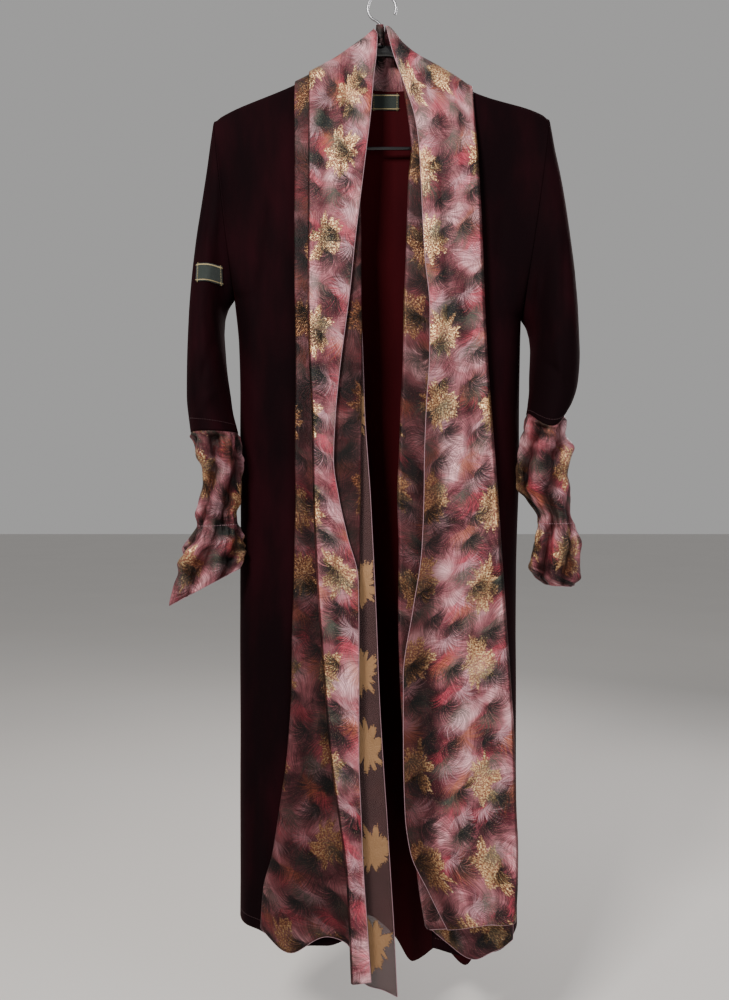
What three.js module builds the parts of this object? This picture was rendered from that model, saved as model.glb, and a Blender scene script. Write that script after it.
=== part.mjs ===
import * as THREE from 'three';

// An open-fronted velvet abaya on a plain hanger, with ruched chiffon cuffs and a long chiffon stole that
// lies round the back neck and hangs folded down both fronts. Millimetres, +Z up, the front facing -Y.
// The origin is the seat of the hanger's hook. Left and right are as seen from the front. Heights in the
// tables are on the garment, which hangs GARMENT_DROP below the seat.

// walls of the cloths, and the gap that pieces keep at a seam
const VELVET_WALL = 2;
const CHIFFON_WALL = 1;
const LABEL_WALL = 1;
const SEAM_GAP = 0.3;
const HALF_SEAM = SEAM_GAP / 2;
const GARMENT_DROP = 12;

// the line over shoulders and neck that the cloth hangs from
const SHOULDER = [
  { x: -234, z: -166 },
  { x: -227, z: -161 },
  { x: -122, z: -115 },
  { x: -87, z: -97 },
  { x: -65, z: -85 },
  { x: -52, z: -76 },
  { x: -35, z: -64 },
  { x: -20, z: -53 },
  { x: -10, z: -44 },
  { x: 0, z: -39 },
  { x: 8, z: -39 },
  { x: 18, z: -48 },
  { x: 28, z: -61 },
  { x: 49, z: -78 },
  { x: 76, z: -93 },
  { x: 95, z: -104 },
  { x: 130, z: -126 },
  { x: 227, z: -158 },
  { x: 233, z: -163 },
];

// how far the front and the back stand off the hanger's plane
const DEPTH = [
  { z: -30, front: 10, back: 9 },
  { z: -120, front: 12, back: 11 },
  { z: -200, front: 18, back: 15 },
  { z: -400, front: 30, back: 25 },
  { z: -700, front: 42, back: 34 },
  { z: -1000, front: 54, back: 42 },
  { z: -1400, front: 69, back: 52 },
];

// the roll of the cloth over the hanger, and of the body round to its side seams
const SHOULDER_ROLL = 12;
const SIDE_ROLL = 45;
const SIDE_COLUMNS = [0, 4, 14, 30, 48];

// soft upright folds of the body: middle, half width, height where they start, depth at the hem
const FRONT_FOLDS = [
  { x: -172, half: 24, top: -450, depth: -6 },
  { x: -130, half: 36, top: -150, depth: 9 },
  { x: 100, half: 44, top: -500, depth: 5 },
  { x: 160, half: 26, top: -420, depth: 7 },
];
const BACK_FOLDS = [
  { x: -142, half: 34, top: -260, depth: 13 },
  { x: -88, half: 30, top: -420, depth: -8 },
  { x: -30, half: 38, top: -300, depth: 14 },
  { x: 34, half: 32, top: -520, depth: -9 },
  { x: 92, half: 36, top: -280, depth: 14 },
  { x: 146, half: 26, top: -460, depth: 8 },
];
const FOLD_HEM = -1300;

// neck points, back neck scoop and the free edges of the two fronts
const NECK_LEFT = -65;
const NECK_RIGHT = 76;
const NECK_SCOOP = 29;
const FRONT_EDGES = [
  { z: -85, left: -65, right: 76 },
  { z: -200, left: -53, right: 71 },
  { z: -500, left: -47, right: 67 },
  { z: -1400, left: -44, right: 65 },
];

// armholes: shoulder tip, underarm and half depth, then the side seams below them
const ARMHOLES = {
  left: { side: -1, tipX: -234, tipZ: -166, underX: -205.5, underZ: -412, halfDepth: 30 },
  right: { side: 1, tipX: 233, tipZ: -163, underX: 193.5, underZ: -440, halfDepth: 30 },
};
const SIDE_SEAMS = {
  left: [
    { z: -412, x: -205.5 },
    { z: -480, x: -199 },
    { z: -560, x: -197 },
    { z: -1400, x: -197 },
  ],
  right: [
    { z: -440, x: 193.5 },
    { z: -500, x: 192 },
    { z: -640, x: 190 },
    { z: -800, x: 186 },
    { z: -1400, x: 188 },
  ],
};

// hems of the three body panels
const HEMS = {
  frontLeft: [
    { x: -197, z: -1268 },
    { x: -165, z: -1270 },
    { x: -105, z: -1288 },
    { x: -75, z: -1288 },
    { x: -44, z: -1278 },
  ],
  frontRight: [
    { x: 65, z: -1290 },
    { x: 120, z: -1300 },
    { x: 187, z: -1280 },
  ],
  back: [
    { x: -197, z: -1268 },
    { x: -150, z: -1288 },
    { x: -100, z: -1295 },
    { x: -15, z: -1301 },
    { x: 20, z: -1325 },
    { x: 45, z: -1360 },
    { x: 85, z: -1346 },
    { x: 122, z: -1370 },
    { x: 140, z: -1350 },
    { x: 165, z: -1325 },
    { x: 187, z: -1280 },
  ],
};

// rows of the panels: in the shoulder roll, as shares of the armhole, and as shares of the side seam
const ROLL_ROWS = [0, 3.5, SHOULDER_ROLL];
const ARMHOLE_ROWS = [0.12, 0.3, 0.49, 0.68, 0.83, 0.94, 1];
const SKIRT_ROWS = 10;
const NECK_TURN = 1.5;
// columns of the panels: on a front, shares of the way from a place to its free edge
const FRONT_COLUMNS = {
  left: { from: -122, shares: [0, 0.35, 0.7, 1] },
  right: { from: 115, shares: [1, 0.5, 0] },
};
const BACK_COLUMNS = [
  -120, -92, NECK_LEFT, NECK_LEFT + NECK_TURN, -45, -22, 5, 32, 56,
  NECK_RIGHT - NECK_TURN, NECK_RIGHT, 97, 117,
];

// rings of the sleeves below the armhole: outer and inner point, half depth, and how far forward it hangs
const SLEEVES = {
  left: [
    { outX: -239, outZ: -200, inX: -217, inZ: -430, halfDepth: 33, forward: 0 },
    { outX: -244, outZ: -240, inX: -221, inZ: -448, halfDepth: 36, forward: 1 },
    { outX: -250, outZ: -285, inX: -221.5, inZ: -466, halfDepth: 39, forward: 4 },
    { outX: -257, outZ: -335, inX: -220, inZ: -484, halfDepth: 42, forward: 8 },
    { outX: -262, outZ: -390, inX: -217.5, inZ: -504, halfDepth: 44, forward: 14 },
    { outX: -264.5, outZ: -445, inX: -214, inZ: -527, halfDepth: 46, forward: 21 },
    { outX: -265.5, outZ: -500, inX: -209.5, inZ: -551, halfDepth: 47, forward: 29 },
    { outX: -264.5, outZ: -552, inX: -205, inZ: -576, halfDepth: 48, forward: 37 },
    { outX: -258, outZ: -603, inX: -197, inZ: -603, halfDepth: 47, forward: 44 },
  ],
  right: [
    { outX: 239, outZ: -197, inX: 204, inZ: -458, halfDepth: 35, forward: 0 },
    { outX: 247, outZ: -237, inX: 208, inZ: -473, halfDepth: 39, forward: 1 },
    { outX: 254, outZ: -283, inX: 208.5, inZ: -487, halfDepth: 43, forward: 4 },
    { outX: 260, outZ: -333, inX: 207.5, inZ: -501, halfDepth: 46, forward: 8 },
    { outX: 265, outZ: -385, inX: 206, inZ: -515, halfDepth: 49, forward: 14 },
    { outX: 267.5, outZ: -437, inX: 204.5, inZ: -529, halfDepth: 51, forward: 21 },
    { outX: 267.5, outZ: -487, inX: 203, inZ: -543, halfDepth: 52, forward: 28 },
    { outX: 264, outZ: -532, inX: 201, inZ: -556, halfDepth: 51, forward: 35 },
    { outX: 255, outZ: -560, inX: 199, inZ: -567, halfDepth: 49, forward: 40 },
    { outX: 243, outZ: -576, inX: 196.5, inZ: -577, halfDepth: 46, forward: 44 },
  ],
};
// how far the front of each sleeve's hem dips below its sides
const HEM_DIP = { left: 0, right: 20 };

// rings of the cuffs below the sleeve's hem: outer and inner point and half depth
const CUFF_FORWARD = 44;
const CUFFS = {
  left: [
    { outX: -255, outZ: -612, inX: -195.5, inZ: -612, halfDepth: 43 },
    { outX: -251.5, outZ: -633, inX: -194, inZ: -633, halfDepth: 38 },
    { outX: -244.5, outZ: -646, inX: -191.5, inZ: -646, halfDepth: 34 },
    { outX: -243, outZ: -667, inX: -193, inZ: -667, halfDepth: 33 },
    { outX: -243.5, outZ: -694, inX: -194, inZ: -694, halfDepth: 33 },
    { outX: -247.5, outZ: -711, inX: -198.5, inZ: -711, halfDepth: 31 },
    { outX: -249, outZ: -729, inX: -197, inZ: -727, halfDepth: 27 },
    { outX: -258.5, outZ: -746, inX: -193, inZ: -739, halfDepth: 29 },
    { outX: -268, outZ: -763, inX: -192, inZ: -750, halfDepth: 33 },
    { outX: -275, outZ: -784, inX: -192, inZ: -762, halfDepth: 36 },
    { outX: -280, outZ: -808, inX: -192, inZ: -774, halfDepth: 36 },
    { outX: -279, outZ: -832, inX: -196, inZ: -788, halfDepth: 32 },
  ],
  right: [
    { outX: 243, outZ: -588, inX: 194, inZ: -588, halfDepth: 43 },
    { outX: 245.5, outZ: -606, inX: 191, inZ: -606, halfDepth: 38 },
    { outX: 252.5, outZ: -626, inX: 188, inZ: -626, halfDepth: 34 },
    { outX: 253, outZ: -648, inX: 185, inZ: -648, halfDepth: 32 },
    { outX: 251, outZ: -675, inX: 186.5, inZ: -675, halfDepth: 31 },
    { outX: 250, outZ: -693, inX: 198, inZ: -693, halfDepth: 29 },
    { outX: 254, outZ: -718, inX: 211.5, inZ: -718, halfDepth: 26 },
    { outX: 258, outZ: -733, inX: 210.5, inZ: -733, halfDepth: 26 },
    { outX: 263, outZ: -756, inX: 206, inZ: -756, halfDepth: 31 },
    { outX: 266, outZ: -780, inX: 202.5, inZ: -780, halfDepth: 33 },
    { outX: 264, outZ: -798, inX: 208, inZ: -796, halfDepth: 28 },
    { outX: 257, outZ: -810, inX: 221, inZ: -808, halfDepth: 20 },
  ],
};
// the ruching of a cuff: lobes round it, their height as a share of the ring, turn from row to row
const RUCHE = { lobes: 5, height: 0.06, turn: 0.9 };

// the stole hangs folded to and fro: where each fold and free edge lies, row by row. A row follows the
// shoulder line as far as slant says. Spread opens the layers from how they lie on the shoulder.
const STOLE_LEFT = {
  middle: -60,
  path: ['sheer', 'deep', 'mid', 'fold', 'edge'],
  lifts: [4, 9, 15, 22],
  points: [8, 6, 4, 5],
  rows: [
    { z: -81, slant: 1, spread: 0, sheer: -26, deep: -121, mid: -30, fold: -101, edge: -12 },
    { z: -84.5, slant: 1, spread: 0, sheer: -24, deep: -121, mid: -29, fold: -101, edge: -11 },
    { z: -93, slant: 1, spread: 0.1, sheer: -23, deep: -121, mid: -29, fold: -101, edge: -7 },
    { z: -112, slant: 0.9, spread: 0.2, sheer: -23, deep: -121, mid: -29, fold: -101, edge: -8 },
    { z: -140, slant: 0.75, spread: 0.4, sheer: -26, deep: -121, mid: -31, fold: -101, edge: -12 },
    { z: -180, slant: 0.5, spread: 0.6, sheer: -30, deep: -120, mid: -33, fold: -101, edge: -16 },
    { z: -230, slant: 0.25, spread: 0.8, sheer: -33, deep: -120, mid: -31, fold: -101, edge: -23 },
    { z: -290, slant: 0, spread: 1, sheer: -33, deep: -120, mid: -30, fold: -101, edge: -31 },
    { z: -350, slant: 0, spread: 1, sheer: -32, deep: -120, mid: -29, fold: -101, edge: -38 },
    { z: -410, slant: 0, spread: 1, sheer: -30, deep: -119, mid: -29, fold: -101, edge: -44 },
    { z: -465, slant: 0, spread: 1, sheer: -28, deep: -118, mid: -28, fold: -100, edge: -51 },
    { z: -520, slant: 0, spread: 1, sheer: -26, deep: -117, mid: -29, fold: -98, edge: -58 },
    { z: -580, slant: 0, spread: 1, sheer: -24, deep: -118, mid: -29, fold: -95, edge: -63.5 },
    { z: -640, slant: 0, spread: 1, sheer: -20, deep: -118, mid: -30, fold: -94, edge: -66 },
    { z: -690, slant: 0, spread: 1, sheer: -16.5, deep: -117, mid: -30, fold: -93, edge: -59 },
    { z: -740, slant: 0, spread: 1, sheer: -14, deep: -118, mid: -31, fold: -91, edge: -48 },
    { z: -800, slant: 0, spread: 1, sheer: -11, deep: -119, mid: -31, fold: -88, edge: -33 },
    { z: -870, slant: 0, spread: 1, sheer: -8, deep: -121, mid: -32, fold: -83, edge: -32 },
    { z: -950, slant: 0, spread: 1, sheer: -5, deep: -122, mid: -33, fold: -77, edge: -32 },
    { z: -1030, slant: 0, spread: 1, sheer: -0.5, deep: -127, mid: -33, fold: -70, edge: -32 },
    { z: -1110, slant: 0, spread: 1, sheer: 5, deep: -138, mid: -30, fold: -59, edge: -29 },
    { z: -1170, slant: 0, spread: 1, sheer: 10, deep: -146, mid: -26, fold: -49, edge: -26 },
    { z: -1230, slant: 0, spread: 1, sheer: 15, deep: -159, mid: -21, fold: -45, edge: -21 },
    { z: -1290, slant: 0, spread: 1, sheer: 19, deep: -163, mid: -16, fold: -42, edge: -16 },
  ],
  hemStart: -1110,
  hems: { sheer: -1350, deep: -1262, mid: -1318, fold: -1328, edge: -1325 },
};
const STOLE_RIGHT = {
  middle: 65,
  path: ['hidden', 'inner', 'outer', 'edge'],
  lifts: [4, 12, 22],
  points: [7, 7, 6],
  rows: [
    { z: -87, slant: 1, spread: 0, hidden: 118, inner: 10, outer: 125, edge: 5 },
    { z: -90.5, slant: 1, spread: 0, hidden: 118, inner: 11, outer: 125, edge: 6 },
    { z: -99, slant: 1, spread: 0.1, hidden: 118, inner: 14, outer: 125, edge: 8 },
    { z: -118, slant: 0.95, spread: 0.2, hidden: 119, inner: 20, outer: 126, edge: 15 },
    { z: -140, slant: 0.85, spread: 0.4, hidden: 119, inner: 28, outer: 127, edge: 29 },
    { z: -175, slant: 0.65, spread: 0.6, hidden: 120, inner: 35, outer: 129, edge: 44 },
    { z: -215, slant: 0.4, spread: 0.8, hidden: 121, inner: 40, outer: 131, edge: 50 },
    { z: -255, slant: 0.15, spread: 0.9, hidden: 122, inner: 36, outer: 132, edge: 52 },
    { z: -305, slant: 0, spread: 1, hidden: 124, inner: 34, outer: 134, edge: 54 },
    { z: -365, slant: 0, spread: 1, hidden: 125, inner: 32, outer: 136, edge: 57 },
    { z: -435, slant: 0, spread: 1, hidden: 127, inner: 29, outer: 138, edge: 63.5 },
    { z: -500, slant: 0, spread: 1, hidden: 130, inner: 28, outer: 141, edge: 63 },
    { z: -560, slant: 0, spread: 1, hidden: 134, inner: 25, outer: 145, edge: 59 },
    { z: -630, slant: 0, spread: 1, hidden: 138, inner: 22.5, outer: 150, edge: 56 },
    { z: -690, slant: 0, spread: 1, hidden: 142, inner: 20, outer: 154, edge: 55 },
    { z: -760, slant: 0, spread: 1, hidden: 146, inner: 22, outer: 158, edge: 52 },
    { z: -840, slant: 0, spread: 1, hidden: 152, inner: 21, outer: 163, edge: 40 },
    { z: -930, slant: 0, spread: 1, hidden: 159, inner: 23, outer: 169, edge: 27 },
    { z: -1020, slant: 0, spread: 1, hidden: 164, inner: 28, outer: 174, edge: 27 },
    { z: -1105, slant: 0, spread: 1, hidden: 168, inner: 34, outer: 176, edge: 29 },
    { z: -1155, slant: 0, spread: 1, hidden: 171, inner: 42, outer: 178, edge: 36 },
    { z: -1205, slant: 0, spread: 1, hidden: 173, inner: 48, outer: 177, edge: 60 },
    { z: -1250, slant: 0, spread: 1, hidden: 172, inner: 56, outer: 174, edge: 84 },
  ],
  hemStart: -1105,
  hems: { hidden: -1278, inner: -1262, outer: -1248, edge: -1256 },
};
// lift of the lowest layer on the shoulder, and the step to each layer above it
const SHOULDER_LIFT = 3;
const SHOULDER_STEP = 1.9;
const FOLD_STEPS = 3;

// the stretch behind the neck, from its upper to its lower edge, and the small fold before the hook
const STOLE_BACK = {
  upper: { left: -12, right: 5, sag: 8 },
  lower: { left: -121, right: 125, sag: 118 },
  lift: 6,
  ripple: 1.5,
  rows: 9,
  columns: 17,
};
const STOLE_FOLD = { left: -10, right: 4.4, top: -31, bottom: -47, near: 4, bulge: 7, rows: 4, columns: 7 };

// bare woven labels: one inside the back neck, one on the left sleeve
const NECK_LABEL = { left: -14, right: 24, top: -122, bottom: -144, rows: 3, columns: 5 };
const SLEEVE_LABEL = { left: -251, right: -221, top: -374, bottom: -399, rows: 4, columns: 9 };

// the hanger: arms under the shoulders with an arch at the neck, trouser bar, hook
const ARM_SINK = VELVET_WALL / 2 + 0.6;
const ARCH_TOP = -58.5;
const ARM_HEIGHT = 16;
const HANGER_ARCH = [
  { x: -65, z: -86.6 },
  { x: -45, z: -77 },
  { x: -22, z: -64 },
  { x: -6, z: ARCH_TOP },
  { x: 8, z: ARCH_TOP },
  { x: 24, z: -65 },
  { x: 48, z: -82 },
  { x: 76, z: -94.6 },
];
const ARM_STATIONS = [-224, -200, -160, -122, -87, -65, -45, -22, -6, 8, 24, 48, 76, 95, 130, 165, 200, 223];
const ARM_SECTION = [
  { y: 0, z: 0 },
  { y: -3, z: -3 },
  { y: -5, z: -7 },
  { y: -5, z: -13 },
  { y: -3, z: -ARM_HEIGHT },
  { y: 3, z: -ARM_HEIGHT },
  { y: 5, z: -13 },
  { y: 5, z: -7 },
  { y: 3, z: -3 },
];
const BAR_RADIUS = 2.5;
const BAR_HEIGHT = -202;
const BAR_ENDS = { left: -206, right: 205, bend: 14 };
const ARM_SLOPE = 0.45;
const HOOK_WIRE = 1.75;
const HOOK_INNER = 18;
const HOOK_TAIL = { from: 250, to: -25, steps: 12 };

// value of one column of a table at a place along another column, straight between the rows
function follow(table, along, place, column) {
  const rising = table[0][along] < table[table.length - 1][along];
  const rows = rising ? table : [...table].reverse();
  if (place <= rows[0][along]) {
    return rows[0][column];
  }
  for (let i = 1; i < rows.length; i += 1) {
    if (place <= rows[i][along]) {
      const share = (place - rows[i - 1][along]) / (rows[i][along] - rows[i - 1][along]);
      return rows[i - 1][column] + share * (rows[i][column] - rows[i - 1][column]);
    }
  }
  return rows[rows.length - 1][column];
}

function mix(a, b, share) {
  return a + (b - a) * share;
}

function shoulderHeight(x) {
  return follow(SHOULDER, 'x', x, 'z');
}

// how far the upright folds push a panel out at one place
function foldRelief(folds, x, z) {
  let relief = 0;
  for (const fold of folds) {
    const off = Math.abs(x - fold.x) / fold.half;
    if (off < 1 && z < fold.top) {
      const grown = Math.min(1, (fold.top - z) / (fold.top - FOLD_HEM));
      relief += fold.depth * grown * (1 + Math.cos(Math.PI * off)) / 2;
    }
  }
  return relief;
}

// point of the cloth's middle on the front (face 'front') or the back, lift outside the velvet's middle,
// with the roll over the hanger; share fades it to the side seam's own depth
function drape(face, x, z, lift, share = 1, edgeDepth = 0) {
  const down = Math.max(0, shoulderHeight(x) - z);
  const angle = down < SHOULDER_ROLL ? Math.acos(1 - down / SHOULDER_ROLL) : Math.PI / 2;
  const folds = face === 'front' ? FRONT_FOLDS : BACK_FOLDS;
  const depth = (follow(DEPTH, 'z', z, face) + lift) * Math.sin(angle) + foldRelief(folds, x, z);
  const off = HALF_SEAM + edgeDepth + (depth - edgeDepth) * share;
  return new THREE.Vector3(x, face === 'front' ? -off : off, z + lift * Math.cos(angle));
}

// closed wall between an outer and an inner grid of points; rows run down, columns to the right as seen
// from outside; a ring's columns close on themselves
function wall(outer, inner, ring = false) {
  const rows = outer.length;
  const columns = outer[0].length;
  const positions = [];
  for (const grid of [outer, inner]) {
    for (const row of grid) {
      for (const point of row) {
        positions.push(point.x, point.y, point.z);
      }
    }
  }
  const index = [];
  const outerAt = (i, j) => i * columns + (j % columns);
  const innerAt = (i, j) => (rows + i) * columns + (j % columns);
  const quad = (a, b, c, d) => index.push(a, b, c, a, c, d);
  const spans = ring ? columns : columns - 1;
  for (let i = 0; i < rows - 1; i += 1) {
    for (let j = 0; j < spans; j += 1) {
      quad(outerAt(i, j), outerAt(i + 1, j), outerAt(i + 1, j + 1), outerAt(i, j + 1));
      quad(innerAt(i, j), innerAt(i, j + 1), innerAt(i + 1, j + 1), innerAt(i + 1, j));
    }
    if (!ring) {
      const end = columns - 1;
      quad(outerAt(i + 1, 0), outerAt(i, 0), innerAt(i, 0), innerAt(i + 1, 0));
      quad(outerAt(i, end), outerAt(i + 1, end), innerAt(i + 1, end), innerAt(i, end));
    }
  }
  const last = rows - 1;
  for (let j = 0; j < spans; j += 1) {
    quad(outerAt(0, j), outerAt(0, j + 1), innerAt(0, j + 1), innerAt(0, j));
    quad(outerAt(last, j + 1), outerAt(last, j), innerAt(last, j), innerAt(last, j + 1));
  }
  const geometry = new THREE.BufferGeometry();
  geometry.setAttribute('position', new THREE.Float32BufferAttribute(positions, 3));
  geometry.setIndex(index);
  geometry.computeVertexNormals();
  return geometry;
}

// wall of one thickness about a grid of middle points, or lifted off them; edgeNormal may give the outward
// direction at a seam, where the wall has to end square
function clothWall(grid, thickness, edgeNormal = () => null, ring = false, lift = 0) {
  const columns = grid[0].length;
  const outer = [];
  const inner = [];
  grid.forEach((row, i) => {
    outer.push([]);
    inner.push([]);
    row.forEach((point, j) => {
      const above = grid[Math.max(0, i - 1)][j];
      const below = grid[Math.min(grid.length - 1, i + 1)][j];
      const before = ring ? row[(j + columns - 1) % columns] : row[Math.max(0, j - 1)];
      const after = ring ? row[(j + 1) % columns] : row[Math.min(columns - 1, j + 1)];
      const down = new THREE.Vector3().subVectors(below, above);
      const across = new THREE.Vector3().subVectors(after, before);
      const normal = edgeNormal(i, j) ?? new THREE.Vector3().crossVectors(down, across).normalize();
      outer[i].push(point.clone().addScaledVector(normal, lift + thickness / 2));
      inner[i].push(point.clone().addScaledVector(normal, lift - thickness / 2));
    });
  });
  return wall(outer, inner, ring);
}

// the armhole as a ring: how far down it lies at a height, and its point and outward direction there
function armholeTurn(armhole, z) {
  const share = (armhole.tipZ - z) / (armhole.tipZ - armhole.underZ);
  return Math.acos(1 - 2 * THREE.MathUtils.clamp(share, 0, 1));
}

function armholeX(armhole, z) {
  return mix(armhole.tipX, armhole.underX, (armhole.tipZ - z) / (armhole.tipZ - armhole.underZ));
}

// outward direction in the plane of a ring of half height a and half depth b
function ringNormal(up, a, b, turn, towards) {
  const normal = up.clone().multiplyScalar(Math.cos(turn) / a);
  normal.y += towards * Math.sin(turn) / b;
  return normal.normalize();
}

function armholeNormal(armhole, z, towards) {
  const up = new THREE.Vector3(armhole.tipX - armhole.underX, 0, armhole.tipZ - armhole.underZ);
  const halfHeight = up.length() / 2;
  return ringNormal(up.normalize(), halfHeight, armhole.halfDepth, armholeTurn(armhole, z), towards);
}

function sideX(name, z) {
  const armhole = ARMHOLES[name];
  return z > armhole.underZ ? armholeX(armhole, z) : follow(SIDE_SEAMS[name], 'z', z, 'x');
}

// heights of a panel's rows in one column, from its top, past the underarm level, to its hem
function rowHeights(top, under, hem) {
  const heights = ROLL_ROWS.map((down) => top - down);
  const start = top - SHOULDER_ROLL;
  for (const share of ARMHOLE_ROWS) {
    heights.push(mix(start, under, share));
  }
  for (let k = 1; k <= SKIRT_ROWS; k += 1) {
    heights.push(mix(under, hem, k / SKIRT_ROWS));
  }
  return heights;
}

const UNDERARM_ROW = ROLL_ROWS.length + ARMHOLE_ROWS.length - 1;

function underarmLevel(x) {
  const { left, right } = ARMHOLES;
  const share = THREE.MathUtils.clamp((x - left.underX) / (right.underX - left.underX), 0, 1);
  return mix(left.underZ, right.underZ, share);
}

// top of the back: the shoulder line, scooped between the neck points
function backTop(x) {
  if (x <= NECK_LEFT || x >= NECK_RIGHT) {
    return shoulderHeight(x);
  }
  const middle = (NECK_LEFT + NECK_RIGHT) / 2;
  const off = (x - middle) / (NECK_RIGHT - middle);
  const line = mix(shoulderHeight(NECK_LEFT), shoulderHeight(NECK_RIGHT), (off + 1) / 2);
  return line - NECK_SCOOP * (1 - off * off) ** 0.6;
}

// one point of a body panel: a column is a distance in from a side seam, or a plain x
function panelPoint(face, column, top, hem, i) {
  const name = column.seam;
  const armhole = ARMHOLES[name];
  const inwards = -armhole.side;
  const heights = (x) => rowHeights(top(x), underarmLevel(x), follow(hem, 'x', x, 'z'));
  let x = column.x ?? armhole.tipX + inwards * column.inset;
  let z = heights(x)[i];
  for (let pass = 0; pass < 3; pass += 1) {
    x = column.x ?? sideX(name, z) + inwards * column.inset;
    if (column.toEdge !== undefined) {
      x = mix(column.x, follow(FRONT_EDGES, 'z', z, name), column.toEdge);
    }
    z = column.inset === 0 ? sideHeight(armhole, hem, i) : heights(x)[i];
  }
  const inset = Math.abs(x - sideX(name, z));
  const edgeDepth = z > armhole.underZ ? armhole.halfDepth * Math.sin(armholeTurn(armhole, z)) : 0;
  const share = inset < SIDE_ROLL ? Math.sqrt(1 - (1 - inset / SIDE_ROLL) ** 2) : 1;
  return drape(face, x, z, 0, share, edgeDepth);
}

// heights on the side itself start from the shoulder tip
function sideHeight(armhole, hem, i) {
  const end = follow(hem, 'x', armhole.side * 1000, 'z');
  return rowHeights(armhole.tipZ, armhole.underZ, end)[i];
}

// a body panel, its edges square to the shoulder, armhole and side seams
function panel(face, columns, top, hem) {
  const rowCount = ROLL_ROWS.length + ARMHOLE_ROWS.length + SKIRT_ROWS;
  const grid = [];
  for (let i = 0; i < rowCount; i += 1) {
    grid.push(columns.map((column) => panelPoint(face, column, top, hem, i)));
  }
  const towards = face === 'front' ? -1 : 1;
  const edgeNormal = (i, j) => {
    const column = columns[j];
    const armhole = ARMHOLES[column.seam];
    if (column.inset === 0) {
      return i <= UNDERARM_ROW
        ? armholeNormal(armhole, grid[i][j].z, towards)
        : new THREE.Vector3(armhole.side, 0, 0);
    }
    const onShoulder = Math.abs(grid[i][j].y) < 1;
    if (i > 0 || !onShoulder) {
      return null;
    }
    const along = new THREE.Vector3().subVectors(
      grid[0][Math.min(columns.length - 1, j + 1)],
      grid[0][Math.max(0, j - 1)],
    );
    const lean = Math.sign(along.x);
    return new THREE.Vector3(-along.z * lean, 0, along.x * lean).normalize();
  };
  return clothWall(grid, VELVET_WALL, edgeNormal);
}

const seamColumns = (seam) => SIDE_COLUMNS.map((inset) => ({ seam, inset }));

function innerColumns(seam) {
  const { from, shares } = FRONT_COLUMNS[seam];
  return shares.map((toEdge) => ({ seam, x: from, toEdge }));
}

function frontLeft() {
  const columns = [...seamColumns('left'), ...innerColumns('left')];
  return panel('front', columns, shoulderHeight, HEMS.frontLeft);
}

function frontRight() {
  const columns = [...innerColumns('right'), ...seamColumns('right').reverse()];
  return panel('front', columns, shoulderHeight, HEMS.frontRight);
}

function back() {
  const middle = BACK_COLUMNS.map((x) => ({ seam: x < 0 ? 'left' : 'right', x })).reverse();
  const columns = [...seamColumns('right'), ...middle, ...seamColumns('left').reverse()];
  return panel('back', columns, backTop, HEMS.back);
}

// turns at which a sleeve's rings have their points, the same as the panels' rows at the armhole
function ringTurns(armhole) {
  const half = rowHeights(armhole.tipZ, armhole.underZ, armhole.underZ - 1)
    .slice(0, UNDERARM_ROW + 1)
    .map((z) => armholeTurn(armhole, z));
  const far = half.slice(1, -1).reverse().map((turn) => 2 * Math.PI - turn);
  return [...half, ...far];
}

// one ring of a sleeve or cuff; ripple widens it by a share at each turn
function ring(side, row, turns, ripple = () => 0, dip = 0) {
  const middle = new THREE.Vector3((row.outX + row.inX) / 2, -row.forward, (row.outZ + row.inZ) / 2);
  const up = new THREE.Vector3(row.outX - row.inX, 0, row.outZ - row.inZ);
  const half = up.length() / 2;
  up.normalize();
  const points = turns.map((turn) => {
    const wider = 1 + ripple(turn);
    const point = middle.clone().addScaledVector(up, half * Math.cos(turn) * wider);
    point.y += side * row.halfDepth * Math.sin(turn) * wider;
    point.z -= dip * Math.max(0, -side * Math.sin(turn)) ** 2;
    return point;
  });
  const normals = turns.map((turn) => ringNormal(up, half, row.halfDepth, turn, side));
  return { points, normals };
}

function armholeRow(armhole) {
  const away = armhole.side * SEAM_GAP;
  return {
    outX: armhole.tipX + away,
    outZ: armhole.tipZ,
    inX: armhole.underX + away,
    inZ: armhole.underZ,
    halfDepth: armhole.halfDepth + HALF_SEAM,
    forward: 0,
  };
}

// rings joined to a tube that ends square at both ends
function tube(rings, thickness) {
  const last = rings.length - 1;
  const square = (i, j) => (i === 0 || i === last ? rings[i].normals[j] : null);
  return clothWall(rings.map((one) => one.points), thickness, square, true);
}

function sleeve(name) {
  const armhole = ARMHOLES[name];
  const turns = ringTurns(armhole);
  const rows = [armholeRow(armhole), ...SLEEVES[name]];
  const last = rows.length - 1;
  const start = last - 3;
  const rings = rows.map((row, i) => {
    const dip = HEM_DIP[name] * Math.max(0, (i - start) / (last - start));
    return ring(armhole.side, row, turns, undefined, dip);
  });
  return tube(rings, VELVET_WALL);
}

function cuff(name) {
  const armhole = ARMHOLES[name];
  const turns = ringTurns(armhole);
  const hem = SLEEVES[name][SLEEVES[name].length - 1];
  const top = { ...hem, outZ: hem.outZ - SEAM_GAP, inZ: hem.inZ - SEAM_GAP };
  const rows = [top, ...CUFFS[name].map((row) => ({ ...row, forward: CUFF_FORWARD }))];
  const rings = rows.map((row, i) => {
    const height = i === 0 ? 0 : RUCHE.height;
    const ripple = (turn) => height * Math.cos(RUCHE.lobes * turn + RUCHE.turn * i);
    const dip = HEM_DIP[name] * Math.max(0, 1 - i / 3);
    return ring(armhole.side, row, turns, ripple, dip);
  });
  return tube(rings, CHIFFON_WALL);
}

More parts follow.
